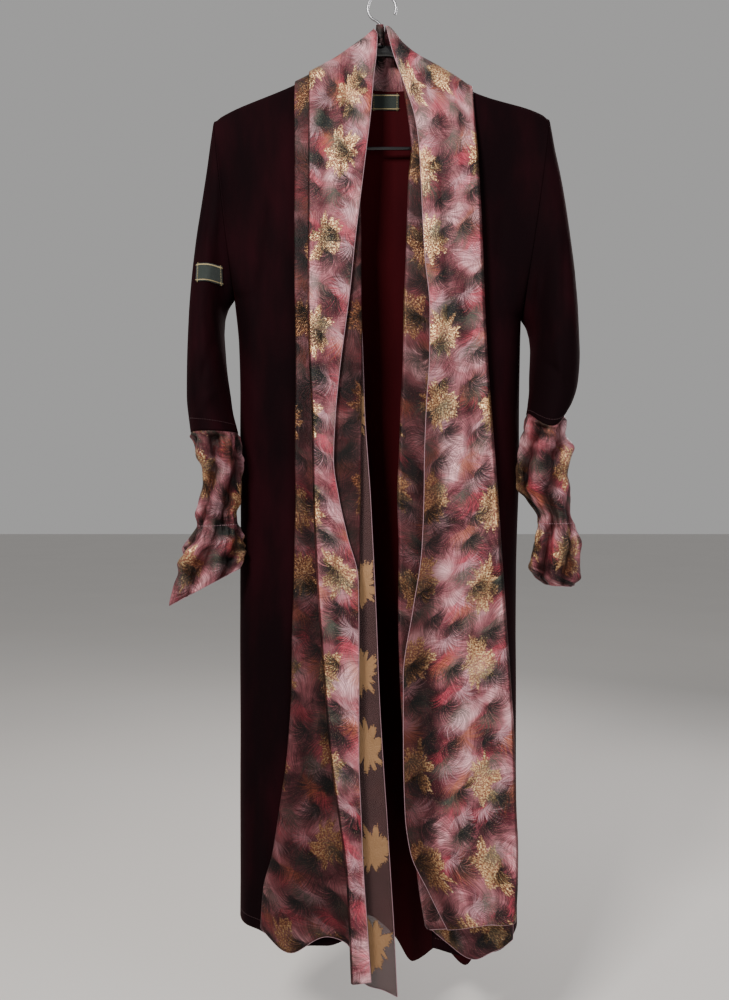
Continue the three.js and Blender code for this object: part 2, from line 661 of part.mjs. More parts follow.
// the folded stole in one row: corner places and layer lifts to a path with rounded folds, in a flat
// frame of x and lift
function foldedPath(corners, lifts, points) {
  const path = [];
  for (let k = 0; k < lifts.length; k += 1) {
    const heading = Math.sign(corners[k + 1] - corners[k]);
    const rise = k < lifts.length - 1 ? (lifts[k + 1] - lifts[k]) / 2 : 0;
    const entry = k > 0 ? (lifts[k] - lifts[k - 1]) / 2 : 0;
    const start = corners[k] + heading * entry;
    const end = corners[k + 1] - heading * rise;
    for (let j = 0; j < points[k]; j += 1) {
      path.push(new THREE.Vector2(mix(start, end, j / (points[k] - 1)), lifts[k]));
    }
    for (let j = 1; rise > 0 && j < FOLD_STEPS; j += 1) {
      const turn = Math.PI * j / FOLD_STEPS;
      const x = end + heading * rise * Math.sin(turn);
      path.push(new THREE.Vector2(x, lifts[k] + rise * (1 - Math.cos(turn))));
    }
  }
  return path;
}

// the path moved sideways by an amount, kept parallel at its corners
function parallelPath(path, amount) {
  return path.map((point, j) => {
    const before = path[Math.max(0, j - 1)];
    const after = path[Math.min(path.length - 1, j + 1)];
    const one = new THREE.Vector2().subVectors(point, before).normalize();
    const two = new THREE.Vector2().subVectors(after, point).normalize();
    const along = new THREE.Vector2().addVectors(one, two).normalize();
    const reach = amount / Math.max(0.5, along.dot(one.lengthSq() > 0 ? one : two));
    return new THREE.Vector2(point.x - along.y * reach, point.y + along.x * reach);
  });
}

function stoleFront(stole) {
  const outer = [];
  const inner = [];
  const lastRow = stole.rows[stole.rows.length - 1];
  for (const row of stole.rows) {
    const corners = stole.path.map((name) => row[name]);
    const lifts = stole.lifts.map((lift, k) => {
      return mix(SHOULDER_LIFT + SHOULDER_STEP * k, Math.max(lift, SHOULDER_LIFT), row.spread);
    });
    const fall = Math.max(0, (stole.hemStart - row.z) / (stole.hemStart - lastRow.z));
    const path = foldedPath(corners, lifts, stole.points);
    const layerOf = stole.points.flatMap((count, k) => Array(count + FOLD_STEPS - 1).fill(k));
    const place = (point, j) => {
      const layer = layerOf[j];
      const passed = (point.x - corners[layer]) / (corners[layer + 1] - corners[layer]);
      const share = THREE.MathUtils.clamp(passed, 0, 1);
      const hem = mix(stole.hems[stole.path[layer]], stole.hems[stole.path[layer + 1]], share);
      const level = row.z + row.slant * (shoulderHeight(point.x) - shoulderHeight(stole.middle));
      const z = level + fall * (hem - lastRow.z);
      return drape('front', point.x, z, point.y);
    };
    outer.push(parallelPath(path, CHIFFON_WALL / 2).map(place));
    inner.push(parallelPath(path, -CHIFFON_WALL / 2).map(place));
  }
  return wall(outer, inner);
}

// the stretch behind the neck spans from shoulder to shoulder and sags down the back
function stoleBack() {
  const { upper, lower, lift, ripple, rows, columns } = STOLE_BACK;
  const side = (name, v) => {
    const x = mix(upper[name], lower[name], v);
    return { x, z: shoulderHeight(x) };
  };
  const grids = [CHIFFON_WALL / 2, -CHIFFON_WALL / 2].map((off) => {
    const grid = [];
    for (let i = 0; i < rows; i += 1) {
      const v = i / (rows - 1);
      const left = side('left', v);
      const right = side('right', v);
      grid.push([]);
      for (let j = 0; j < columns; j += 1) {
        const u = (1 + Math.cos(Math.PI * j / (columns - 1))) / 2;
        const bow = 4 * u * (1 - u);
        const x = mix(left.x, right.x, u);
        const z = mix(left.z, right.z, u) - bow * mix(upper.sag, lower.sag, v);
        const wave = ripple * bow * Math.cos(2.5 * Math.PI * v);
        const end = j === 0 || j === columns - 1;
        const height = end ? shoulderHeight(x) : Math.min(z, shoulderHeight(x));
        grid[i].push(drape('back', x, height, lift + wave + off));
      }
    }
    return grid;
  });
  return wall(grids[0], grids[1]);
}

function stoleFold() {
  const { left, right, top, bottom, near, bulge, rows, columns } = STOLE_FOLD;
  const grid = [];
  for (let i = 0; i < rows; i += 1) {
    grid.push([]);
    for (let j = 0; j < columns; j += 1) {
      const u = j / (columns - 1);
      const y = -near - bulge * Math.sin(Math.PI * u);
      grid[i].push(new THREE.Vector3(mix(left, right, u), y, mix(top, bottom, i / (rows - 1))));
    }
  }
  return clothWall(grid, CHIFFON_WALL);
}

const LABEL_LIFT = VELVET_WALL / 2 + 1.5 * SEAM_GAP + LABEL_WALL / 2;

// a label over a rectangle of a wall's middle, whose depth is a function of x and z, facing the front
function labelWall(label, depthAt) {
  const grid = [];
  for (let i = 0; i < label.rows; i += 1) {
    const z = mix(label.top, label.bottom, i / (label.rows - 1));
    grid.push([]);
    for (let j = 0; j < label.columns; j += 1) {
      const x = mix(label.left, label.right, j / (label.columns - 1));
      grid[i].push(new THREE.Vector3(x, depthAt(x, z), z));
    }
  }
  return clothWall(grid, LABEL_WALL, undefined, false, LABEL_LIFT);
}

function neckLabel() {
  return labelWall(NECK_LABEL, (x, z) => drape('back', x, z, 0).y);
}

// depth of a sleeve's front at a place: the ring whose line passes through it is found by halving
function sleeveFront(name, x, z) {
  const armhole = ARMHOLES[name];
  const rows = [armholeRow(armhole), ...SLEEVES[name]];
  const rowAt = (place) => {
    const i = Math.min(rows.length - 2, Math.floor(place));
    const blend = {};
    for (const key of Object.keys(rows[i])) {
      blend[key] = mix(rows[i][key], rows[i + 1][key], place - i);
    }
    return blend;
  };
  const heightOver = (row) => {
    return z - mix(row.inZ, row.outZ, (x - row.inX) / (row.outX - row.inX));
  };
  let low = 0;
  let high = rows.length - 1;
  for (let pass = 0; pass < 24; pass += 1) {
    const middle = (low + high) / 2;
    if (heightOver(rowAt(middle)) < 0) {
      low = middle;
    } else {
      high = middle;
    }
  }
  const row = rowAt(low);
  const share = (x - row.inX) / (row.outX - row.inX);
  const across = THREE.MathUtils.clamp(2 * share - 1, -1, 1);
  return -row.forward - row.halfDepth * Math.sqrt(1 - across * across);
}

function sleeveLabel() {
  return labelWall(SLEEVE_LABEL, (x, z) => sleeveFront('left', x, z));
}

function hangerTop(x) {
  return x > NECK_LEFT && x < NECK_RIGHT ? follow(HANGER_ARCH, 'x', x, 'z') : shoulderHeight(x) - ARM_SINK;
}

// the arms: one section swept from tip to tip, closed at both ends
function hangerArms() {
  const positions = [];
  const index = [];
  const sides = ARM_SECTION.length;
  for (const x of ARM_STATIONS) {
    for (const corner of ARM_SECTION) {
      positions.push(x, corner.y, hangerTop(x) + corner.z);
    }
  }
  for (let i = 0; i < ARM_STATIONS.length - 1; i += 1) {
    for (let j = 0; j < sides; j += 1) {
      const a = i * sides + j;
      const b = i * sides + ((j + 1) % sides);
      index.push(a, b, b + sides, a, b + sides, a + sides);
    }
  }
  const last = (ARM_STATIONS.length - 1) * sides;
  for (let j = 1; j < sides - 1; j += 1) {
    index.push(0, j + 1, j);
    index.push(last, last + j, last + j + 1);
  }
  const geometry = new THREE.BufferGeometry();
  geometry.setAttribute('position', new THREE.Float32BufferAttribute(positions, 3));
  geometry.setIndex(index);
  geometry.computeVertexNormals();
  return geometry;
}

function roundRod(points, radius, steps) {
  const circle = new THREE.Shape();
  circle.absarc(0, 0, radius, 0, 2 * Math.PI);
  const curve = new THREE.CatmullRomCurve3(points);
  const options = { steps, curveSegments: 5, bevelEnabled: false, extrudePath: curve };
  return new THREE.ExtrudeGeometry(circle, options);
}

function hangerBar() {
  const { left, right, bend } = BAR_ENDS;
  const under = (x) => hangerTop(x) - ARM_HEIGHT - SEAM_GAP - BAR_RADIUS * ARM_SLOPE;
  const points = [
    new THREE.Vector3(left, 0, under(left)),
    new THREE.Vector3(left, 0, BAR_HEIGHT + bend),
    new THREE.Vector3(left + bend / 3, 0, BAR_HEIGHT + bend / 3),
    new THREE.Vector3(left + bend, 0, BAR_HEIGHT),
    new THREE.Vector3(left + 3 * bend, 0, BAR_HEIGHT),
    new THREE.Vector3(0, 0, BAR_HEIGHT),
    new THREE.Vector3(right - 3 * bend, 0, BAR_HEIGHT),
    new THREE.Vector3(right - bend, 0, BAR_HEIGHT),
    new THREE.Vector3(right - bend / 3, 0, BAR_HEIGHT + bend / 3),
    new THREE.Vector3(right, 0, BAR_HEIGHT + bend),
    new THREE.Vector3(right, 0, under(right)),
  ];
  return roundRod(points, BAR_RADIUS, 36);
}

// the hook, in the whole object's own heights: stem, then the loop over the seat
function hangerHook() {
  const radius = HOOK_INNER + HOOK_WIRE;
  const middle = -HOOK_INNER;
  const foot = ARCH_TOP - GARMENT_DROP + SEAM_GAP;
  const points = [new THREE.Vector3(0, 0, foot), new THREE.Vector3(0, 0, middle - radius - 8)];
  for (let k = 0; k <= HOOK_TAIL.steps; k += 1) {
    const angle = THREE.MathUtils.degToRad(mix(HOOK_TAIL.from, HOOK_TAIL.to, k / HOOK_TAIL.steps));
    points.push(new THREE.Vector3(radius * Math.cos(angle), 0, middle + radius * Math.sin(angle)));
  }
  return roundRod(points, HOOK_WIRE, 44);
}

function named(name, geometry, material) {
  const mesh = new THREE.Mesh(geometry, material);
  mesh.name = name;
  return mesh;
}

const cloth = (color, roughness) => () => {
  return new THREE.MeshStandardMaterial({ color, roughness, metalness: 0, side: THREE.DoubleSide });
};
const velvet = cloth(0x2a070e, 0.9);
const chiffon = cloth(0x8d6670, 0.55);
const woven = cloth(0x12251d, 0.7);
const plastic = () => new THREE.MeshStandardMaterial({ color: 0x101012, roughness: 0.35, metalness: 0 });
const steel = () => new THREE.MeshStandardMaterial({ color: 0xa8aaad, roughness: 0.3, metalness: 1 });

const garment = new THREE.Group();
garment.position.z = -GARMENT_DROP;
garment.add(
  named('velvet_back', back(), velvet()),
  named('velvet_front_left', frontLeft(), velvet()),
  named('velvet_front_right', frontRight(), velvet()),
  named('sleeve_left', sleeve('left'), velvet()),
  named('sleeve_right', sleeve('right'), velvet()),
  named('cuff_left', cuff('left'), chiffon()),
  named('cuff_right', cuff('right'), chiffon()),
  named('stole_left', stoleFront(STOLE_LEFT), chiffon()),
  named('stole_right', stoleFront(STOLE_RIGHT), chiffon()),
  named('stole_back', stoleBack(), chiffon()),
  named('stole_fold', stoleFold(), chiffon()),
  named('label_neck', neckLabel(), woven()),
  named('label_sleeve', sleeveLabel(), woven()),
  named('hanger_arms', hangerArms(), plastic()),
  named('hanger_bar', hangerBar(), plastic()),
);

const abaya = new THREE.Group();
abaya.add(garment, named('hanger_hook', hangerHook(), steel()));

export default abaya;
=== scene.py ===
"""An open-fronted velvet abaya with a printed chiffon stole, on a plain hanger.

Tables are in millimetres on the garment, as it hangs below the hook's seat, and meshes are in metres.
+Z is up and the front faces -Y. Left and right are as seen from the front.
"""

import logging
import math
from dataclasses import dataclass, field
from enum import Enum
from typing import Callable, NamedTuple, Optional, Sequence

import bpy
import numpy as np
from bpy.types import Material, Mesh, Node, NodeSocket, NodeTree, Object
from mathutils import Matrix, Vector

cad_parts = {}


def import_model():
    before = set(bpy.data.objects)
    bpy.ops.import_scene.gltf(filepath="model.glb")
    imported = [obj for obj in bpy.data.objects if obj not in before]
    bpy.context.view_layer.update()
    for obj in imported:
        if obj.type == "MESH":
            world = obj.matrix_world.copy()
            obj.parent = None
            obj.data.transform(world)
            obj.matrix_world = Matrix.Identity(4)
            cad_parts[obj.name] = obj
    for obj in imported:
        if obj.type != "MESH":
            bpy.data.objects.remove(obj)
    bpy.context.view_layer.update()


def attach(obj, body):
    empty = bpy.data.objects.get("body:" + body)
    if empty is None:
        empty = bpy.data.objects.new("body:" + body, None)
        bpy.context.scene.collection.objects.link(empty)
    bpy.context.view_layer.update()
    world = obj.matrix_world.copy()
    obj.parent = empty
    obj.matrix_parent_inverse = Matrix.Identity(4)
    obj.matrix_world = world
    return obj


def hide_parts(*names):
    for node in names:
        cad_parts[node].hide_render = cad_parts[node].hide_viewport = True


Colour = tuple[float, float, float, float]
Line = Callable[[np.ndarray], np.ndarray]
LOG = logging.getLogger("abaya")
MM = 0.001
CLOTH_UV = "Cloth"
SHEER = "sheer"
# the chiffon's per-point painted shade: darker where few layers of cloth lie behind it, and in troughs
SHADE_ATTRIBUTE = "painted_shade"

# walls of the cloths, and how far the garment hangs below the hook's seat
VELVET_WALL = 2.0
CHIFFON_WALL = 1.0
LABEL_WALL = 1.0
SEAM_LAP = 0.1
SEAM_GAP = 0.3
GARMENT_DROP = 12.0
SHOULDER_ROLL = 12.0
SIDE_ROLL = 45.0


class Face(Enum):
    """Side of the garment that a panel belongs to, with the sign of its depth."""

    FRONT = "front"
    BACK = "back"

    @property
    def sign(self) -> float:
        """Direction of the outside along Y."""
        return -1.0 if self is Face.FRONT else 1.0


class Held(Enum):
    """How a cloth is held."""

    HUNG = "hung"
    DRAPED = "draped"
    GATHERED = "gathered"
    LAID = "laid"


class Spot(NamedTuple):
    """A place on the garment, seen from the front."""

    x: float
    z: float


class Depth(NamedTuple):
    """How far the front and back stand off the hanger's plane at a height."""

    z: float
    front: float
    back: float


class Fold(NamedTuple):
    """A soft upright fold of the body: middle, half width, start and depth at the hem."""

    x: float
    half: float
    top: float
    depth: float


class Crease(NamedTuple):
    """A soft trough or ridge between two places. Depth is positive for a ridge."""

    x0: float
    z0: float
    x1: float
    z1: float
    width: float
    depth: float


class EdgeRow(NamedTuple):
    """Free edges of the two fronts at a height."""

    z: float
    left: float
    right: float


class Ring(NamedTuple):
    """A ring of a sleeve or cuff: outer and inner point, half depth, and how far forward it hangs."""

    out_x: float
    out_z: float
    in_x: float
    in_z: float
    half_depth: float
    forward: float


class Armhole(NamedTuple):
    """An armhole from its shoulder tip to the underarm."""

    side: float
    tip_x: float
    tip_z: float
    under_x: float
    under_z: float
    half_depth: float


class LeftRow(NamedTuple):
    """Folds and free edges of the left stole at a height."""

    z: float
    slant: float
    spread: float
    sheer: float
    deep: float
    mid: float
    fold: float
    edge: float


class RightRow(NamedTuple):
    """Folds and free edges of the right stole at a height."""

    z: float
    slant: float
    spread: float
    hidden: float
    inner: float
    outer: float
    edge: float


def table(kind: type, rows: Sequence[tuple]) -> list:
    """Rows of numbers under the names of their kind."""
    return [kind(*row) for row in rows]


SHOULDER = table(Spot, [
    (-234, -166), (-227, -161), (-122, -115), (-87, -97), (-65, -85), (-52, -76), (-35, -64),
    (-20, -53), (-10, -44), (0, -39), (8, -39), (18, -48), (28, -61), (49, -78), (76, -93), (95, -104),
    (130, -126), (227, -158), (233, -163),
])
DEPTH = table(Depth, [
    (-30, 10, 9), (-120, 12, 11), (-200, 18, 15), (-400, 30, 25), (-700, 42, 34), (-1000, 54, 42),
    (-1400, 69, 52),
])
FOLDS = {
    Face.FRONT: table(Fold, [
        (-172, 24, -450, -6), (-130, 36, -150, 9), (100, 44, -500, 5), (160, 26, -420, 7),
    ]),
    Face.BACK: table(Fold, [
        (-142, 34, -260, 13), (-88, 30, -420, -8), (-30, 38, -300, 14), (34, 32, -520, -9),
        (92, 36, -280, 14), (146, 26, -460, 8),
    ]),
}
FOLD_HEM = -1300.0
NECK_LEFT = -65.0
NECK_RIGHT = 76.0
NECK_SCOOP = 29.0
NECK_ROUND = 0.6
FRONT_EDGES = table(EdgeRow, [
    (-85, -65, 76), (-200, -53, 71), (-500, -47, 67), (-1400, -44, 65),
])
ARMHOLES = {
    "left": Armhole(-1, -234, -166, -205.5, -412, 30),
    "right": Armhole(1, 233, -163, 193.5, -440, 30),
}
SIDE_SEAMS = {
    "left": table(Spot, [
        (-205.5, -412), (-199, -480), (-197, -560), (-197, -1400),
    ]),
    "right": table(Spot, [
        (193.5, -440), (192, -500), (190, -640), (186, -800), (188, -1400),
    ]),
}
HEM_LEFT = table(Spot, [
    (-197, -1268), (-165, -1270), (-105, -1288), (-75, -1288), (-44, -1278),
])
HEM_RIGHT = table(Spot, [
    (65, -1290), (120, -1300), (187, -1280),
])
HEM_BACK = table(Spot, [
    (-197, -1268), (-150, -1288), (-100, -1295), (-15, -1301), (20, -1325), (45, -1360), (85, -1346),
    (122, -1370), (140, -1350), (165, -1325), (187, -1280),
])
SLEEVES = {
    "left": table(Ring, [
        (-239, -200, -217, -430, 33, 0), (-244, -240, -221, -448, 36, 1),
        (-250, -285, -221.5, -466, 39, 4), (-257, -335, -220, -484, 42, 8),
        (-262, -390, -217.5, -504, 44, 14), (-264.5, -445, -214, -527, 46, 21),
        (-265.5, -500, -209.5, -551, 47, 29), (-264.5, -552, -205, -576, 48, 37),
        (-258, -603, -197, -603, 47, 44),
    ]),
    "right": table(Ring, [
        (239, -197, 204, -458, 35, 0), (247, -237, 208, -473, 39, 1), (254, -283, 208.5, -487, 43, 4),
        (260, -333, 207.5, -501, 46, 8), (265, -385, 206, -515, 49, 14),
        (267.5, -437, 204.5, -529, 51, 21), (267.5, -487, 203, -543, 52, 28),
        (264, -532, 201, -556, 51, 35), (255, -560, 199, -567, 49, 40),
        (243, -576, 196.5, -577, 46, 44),
    ]),
}
HEM_DIP = {"left": 0.0, "right": 20.0}
DIP_ROWS = 3
CUFFS = {
    "left": table(Ring, [
        (-255, -612, -195.5, -612, 43, 44), (-251.5, -633, -194, -633, 38, 44),
        (-244.5, -646, -191.5, -646, 34, 44), (-243, -667, -193, -667, 33, 44),
        (-243.5, -694, -194, -694, 33, 44), (-247.5, -711, -198.5, -711, 31, 44),
        (-249, -729, -197, -727, 27, 44), (-258.5, -746, -193, -739, 29, 44),
        (-268, -763, -192, -750, 33, 44), (-275, -784, -192, -762, 36, 44),
        (-280, -808, -192, -774, 36, 44), (-279, -832, -196, -788, 32, 44),
    ]),
    "right": table(Ring, [
        (243, -588, 194, -588, 43, 44), (245.5, -606, 191, -606, 38, 44),
        (252.5, -626, 188, -626, 34, 44), (253, -648, 185, -648, 32, 44),
        (251, -675, 186.5, -675, 31, 44), (250, -693, 198, -693, 29, 44),
        (254, -718, 211.5, -718, 26, 44), (258, -733, 210.5, -733, 26, 44),
        (263, -756, 206, -756, 31, 44), (266, -780, 202.5, -780, 33, 44),
        (264, -798, 208, -796, 28, 44), (257, -810, 221, -808, 20, 44),
    ]),
}
LEFT_ROWS = table(LeftRow, [
    (-81, 1, 0, -26, -121, -30, -101, -12), (-84.5, 1, 0, -24, -121, -29, -101, -11),
    (-93, 1, 0.1, -23, -121, -29, -101, -7), (-112, 0.9, 0.2, -23, -121, -29, -101, -8),
    (-140, 0.75, 0.4, -26, -121, -31, -101, -12), (-180, 0.5, 0.6, -30, -120, -33, -101, -16),
    (-230, 0.25, 0.8, -33, -120, -31, -101, -23), (-290, 0, 1, -33, -120, -30, -101, -31),
    (-350, 0, 1, -32, -120, -29, -101, -38), (-410, 0, 1, -30, -119, -29, -101, -44),
    (-465, 0, 1, -28, -118, -28, -100, -51), (-520, 0, 1, -26, -117, -29, -98, -58),
    (-580, 0, 1, -24, -118, -29, -95, -63.5), (-640, 0, 1, -20, -118, -30, -94, -66),
    (-690, 0, 1, -16.5, -117, -30, -93, -59), (-740, 0, 1, -14, -118, -31, -91, -48),
    (-800, 0, 1, -11, -119, -31, -88, -33), (-870, 0, 1, -8, -121, -32, -83, -32),
    (-950, 0, 1, -5, -122, -33, -77, -32), (-1030, 0, 1, -0.5, -127, -33, -70, -32),
    (-1110, 0, 1, 5, -138, -30, -59, -29), (-1170, 0, 1, 10, -146, -26, -49, -26),
    (-1230, 0, 1, 15, -159, -21, -45, -21), (-1290, 0, 1, 19, -163, -16, -42, -16),
])
LEFT_HEMS = {"sheer": -1350.0, "deep": -1262.0, "mid": -1318.0, "fold": -1328.0, "edge": -1325.0}
RIGHT_ROWS = table(RightRow, [
    (-87, 1, 0, 118, 10, 125, 5), (-90.5, 1, 0, 118, 11, 125, 6), (-99, 1, 0.1, 118, 14, 125, 8),
    (-118, 0.95, 0.2, 119, 20, 126, 15), (-140, 0.85, 0.4, 119, 28, 127, 29),
    (-175, 0.65, 0.6, 120, 35, 129, 44), (-215, 0.4, 0.8, 121, 40, 131, 50),
    (-255, 0.15, 0.9, 122, 36, 132, 52), (-305, 0, 1, 124, 34, 134, 54), (-365, 0, 1, 125, 32, 136, 57),
    (-435, 0, 1, 127, 29, 138, 63.5), (-500, 0, 1, 130, 28, 141, 63), (-560, 0, 1, 134, 25, 145, 59),
    (-630, 0, 1, 138, 22.5, 150, 56), (-690, 0, 1, 142, 20, 154, 55), (-760, 0, 1, 146, 22, 158, 52),
    (-840, 0, 1, 152, 21, 163, 40), (-930, 0, 1, 159, 23, 169, 27), (-1020, 0, 1, 164, 28, 174, 27),
    (-1105, 0, 1, 168, 34, 176, 29), (-1155, 0, 1, 171, 42, 178, 36), (-1205, 0, 1, 173, 48, 177, 60),
    (-1250, 0, 1, 172, 56, 174, 84),
])
LEFT_SCALLOPS = table(Spot, [
    (-163, -1262), (-119, -1290), (-75, -1272), (-48, -1281), (-30, -1312), (-16, -1318),
])
VEIL_SCALLOPS = table(Spot, [
    (-163, -1262), (-119, -1284), (-75, -1267), (-48, -1275), (-38, -1296), (-24, -1336), (0, -1344),
    (19, -1353),
])
RIGHT_SCALLOPS = table(Spot, [
    (56, -1258), (84, -1280), (123, -1303), (150, -1290), (172, -1276),
])
RIGHT_HEMS = {"hidden": -1278.0, "inner": -1262.0, "outer": -1248.0, "edge": -1256.0}
HOOK_FOLD = {"left": -10.0, "right": 4.4, "top": -31.0, "foot": -60.0}
VEIL_PRINT_START = -423.0
LEFT_PRINT_START = 34.0
RIGHT_PRINT_START = 730.0
SHOULDER_LIFT = 3.0
SHOULDER_STEP = 1.9

# creases of the velvet, then of the layers of the stole that show
FRONT_CREASES = table(Crease, [
    (-150, -260, -176, -470, 7, -2.0), (-186, -330, -168, -620, 9, 1.8),
    (-120, -700, -128, -1210, 12, 2.2), (-176, -880, -170, -1240, 8, -2.0),
    (172, -240, 150, -520, 7, -1.8), (182, -420, 176, -760, 8, 1.6), (170, -820, 176, -1230, 9, -2.2),
    (110, -900, 96, -1260, 12, 2.0),
])
BACK_CREASES = table(Crease, [
    (-120, -230, -60, -420, 12, -2.2), (118, -230, 62, -440, 12, -2.2),
    (-160, -420, -176, -800, 8, 2.0), (160, -450, 172, -860, 8, 2.0), (-12, -460, 4, -1180, 9, -2.6),
    (62, -640, 58, -1280, 8, 2.2), (-112, -760, -116, -1250, 8, -2.2), (118, -820, 124, -1260, 7, -2.0),
])
SLEEVE_CREASES = {
    "left": table(Crease, [
        (-238, -205, -246, -420, 4, -2.4), (-228, -250, -232, -400, 5, 1.8),
        (-256, -380, -238, -520, 5, -2.2), (-222, -470, -244, -560, 6, -2.4),
        (-214, -540, -252, -590, 5, 1.8),
    ]),
    "right": table(Crease, [
        (220, -186, 214, -300, 4, -2.4), (196, -308, 186, -470, 5, -2.0),
        (214, -382, 213, -470, 4, 2.2), (250, -330, 240, -480, 5, -2.2),
        (212, -500, 246, -548, 5, -2.4), (226, -420, 234, -560, 5, 1.6),
    ]),
}
LEFT_CREASES = table(Crease, [
    (-57, -84, -60, -205, 3.0, 3.4), (-60, -205, -66, -360, 4.0, 2.4), (-74, -96, -78, -300, 6, -2.2),
    (-34, -82, -8, -96, 2.4, 1.6), (-96, -982, -34, -976, 2.4, -2.0), (-78, -250, -84, -560, 5, -2.0),
    (-66, -380, -72, -640, 4, 2.2), (-84, -560, -78, -930, 5, 2.2), (-64, -700, -56, -1010, 4, -2.2),
    (-100, -900, -124, -1230, 7, 3.0), (-84, -980, -92, -1240, 6, -3.2),
    (-52, -1040, -36, -1290, 3.5, 2.4), (-140, -1010, -148, -1240, 6, -2.4),
])
RIGHT_CREASES = table(Crease, [
    (172, -972, 128, -1040, 3.4, 4.2), (128, -1040, 66, -1118, 3.4, 4.2), (66, -118, 84, -210, 4, 2.6),
    (96, -132, 112, -330, 6, 3.0), (80, -220, 88, -470, 5, -2.4), (74, -430, 84, -700, 5, 2.4),
    (112, -380, 118, -760, 7, -2.8), (136, -300, 142, -620, 6, 2.6), (142, -640, 150, -940, 6, -2.6),
    (92, -760, 104, -1010, 5, 2.6), (120, -820, 122, -1000, 5, -2.2), (58, -900, 70, -1080, 4, -2.2),
    (132, -1090, 112, -1230, 6, 3.2), (154, -1120, 150, -1240, 5, -3.0),
    (92, -1120, 98, -1240, 5, -2.6), (74, -1110, 72, -1220, 4, 2.2),
])

# the stretch of the stole behind the neck, and the arch of the hanger's arms and how far they sink below
# the shoulder line
BACK_UPPER = {"left": -12.0, "right": 5.0, "sag": 8.0}
BACK_LOWER = {"left": -121.0, "right": 125.0, "sag": 118.0}
BACK_LIFT = 6.0
BACK_RIPPLE = 1.5
HANGER_ARCH = table(Spot, [
    (-65, -86.6), (-45, -77), (-22, -64), (-6, -58.5), (8, -58.5), (24, -65), (48, -82), (76, -94.6),
])
ARM_SINK = VELVET_WALL / 2 + 0.6


def smooth_line(xs: np.ndarray, ys: np.ndarray, places: np.ndarray) -> np.ndarray:
    """Smooth line through points that never swings past them, level beyond its ends.

    Args:
        xs: Rising places of the points.
        ys: Values of the points.
        places: Places to read the line at.

    Returns:
        The values at the places.
    """
    steps = np.diff(xs)
    slopes = np.diff(ys) / steps
    product = slopes[:-1] * slopes[1:]
    total = np.where(slopes[:-1] + slopes[1:] == 0, 1, slopes[:-1] + slopes[1:])
    bends = np.where(product > 0, 2 * product / total, 0)
    tangents = np.concatenate([[slopes[0]], bends, [slopes[-1]]])
    at = np.clip(places, xs[0], xs[-1])
    k = np.clip(np.searchsorted(xs, at) - 1, 0, len(steps) - 1)
    span = steps[k]
    t = (at - xs[k]) / span
    start = (1 + 2 * t) * (1 - t) ** 2 * ys[k] + t * (1 - t) ** 2 * span * tangents[k]
    end = t * t * (3 - 2 * t) * ys[k + 1] + t * t * (t - 1) * span * tangents[k + 1]
    return start + end


def follow(rows: Sequence, along: str, places: np.ndarray, column: str) -> np.ndarray:
    """Value of one column of a table at places along another.

    Args:
        rows: Rows of the table.
        along: Column that the places lie on.
        places: Places to read.
        column: Column to read.

    Returns:
        The values at the places.
    """
    xs = np.array([getattr(row, along) for row in rows], float)
    ys = np.array([getattr(row, column) for row in rows], float)
    order = np.argsort(xs)
    return smooth_line(xs[order], ys[order], np.asarray(places, float))


def mix(a: np.ndarray, b: np.ndarray, share: np.ndarray) -> np.ndarray:
    """Value a share of the way from a to b."""
    return a + (b - a) * share


def ease(low: float, high: float, value: np.ndarray) -> np.ndarray:
    """Smooth step from 0 at low to 1 at high."""
    t = np.clip((value - low) / (high - low), 0, 1)
    return t * t * (3 - 2 * t)


def wobble(a: np.ndarray, b: np.ndarray, seed: float) -> np.ndarray:
    """Slow even-handed unevenness between about -1 and 1.

    Args:
        a: First coordinate, in turns of about one wave each.
        b: Second coordinate.
        seed: Shifts the pattern.

    Returns:
        The unevenness at each place.
    """
    one = np.sin(6.1 * a + 1.7 * b + seed)
    two = np.sin(-2.3 * a + 5.2 * b + 2.1 * seed)
    three = np.sin(9.7 * a - 7.9 * b + 3.7 * seed)
    return (one + two + 0.6 * three) / 2.6


def shoulder_height(x: np.ndarray) -> np.ndarray:
    """Height of the line over shoulders and neck."""
    return follow(SHOULDER, "x", x, "z")


def fold_relief(face: Face, x: np.ndarray, z: np.ndarray) -> np.ndarray:
    """How far the upright folds push a panel out.

    Args:
        face: Front or back.
        x: Places across.
        z: Heights.

    Returns:
        The relief in millimetres.
    """
    relief = np.zeros(np.broadcast(x, z).shape)
    for fold in FOLDS[face]:
        off = np.minimum(1, np.abs(x - fold.x) / fold.half)
        grown = np.clip((fold.top - z) / (fold.top - FOLD_HEM), 0, 1)
        relief += fold.depth * grown * (1 + np.cos(np.pi * off)) / 2
    return relief


def crease_relief(creases: Sequence[Crease], x: np.ndarray, z: np.ndarray) -> np.ndarray:
    """Relief of soft troughs and ridges, uneven along their length and faded at both ends.

    Args:
        creases: The creases.
        x: Places across.
        z: Heights.

    Returns:
        The relief in millimetres.
    """
    relief = np.zeros(np.broadcast(x, z).shape)
    for k, crease in enumerate(creases):
        run = np.array([crease.x1 - crease.x0, crease.z1 - crease.z0])
        length = float(np.hypot(*run))
        along = ((x - crease.x0) * run[0] + (z - crease.z0) * run[1]) / length**2
        bend = 0.35 * crease.width * np.sin(4.1 * along + k)
        off = ((x - crease.x0) * run[1] - (z - crease.z0) * run[0]) / length + bend
        fade = ease(-0.08, 0.25, along) * (1 - ease(0.7, 1.08, along))
        uneven = 1 + 0.3 * np.sin(13 * along + 2.3 * k)
        relief += crease.depth * fade * uneven * np.exp(-((off / crease.width) ** 2))
    return relief


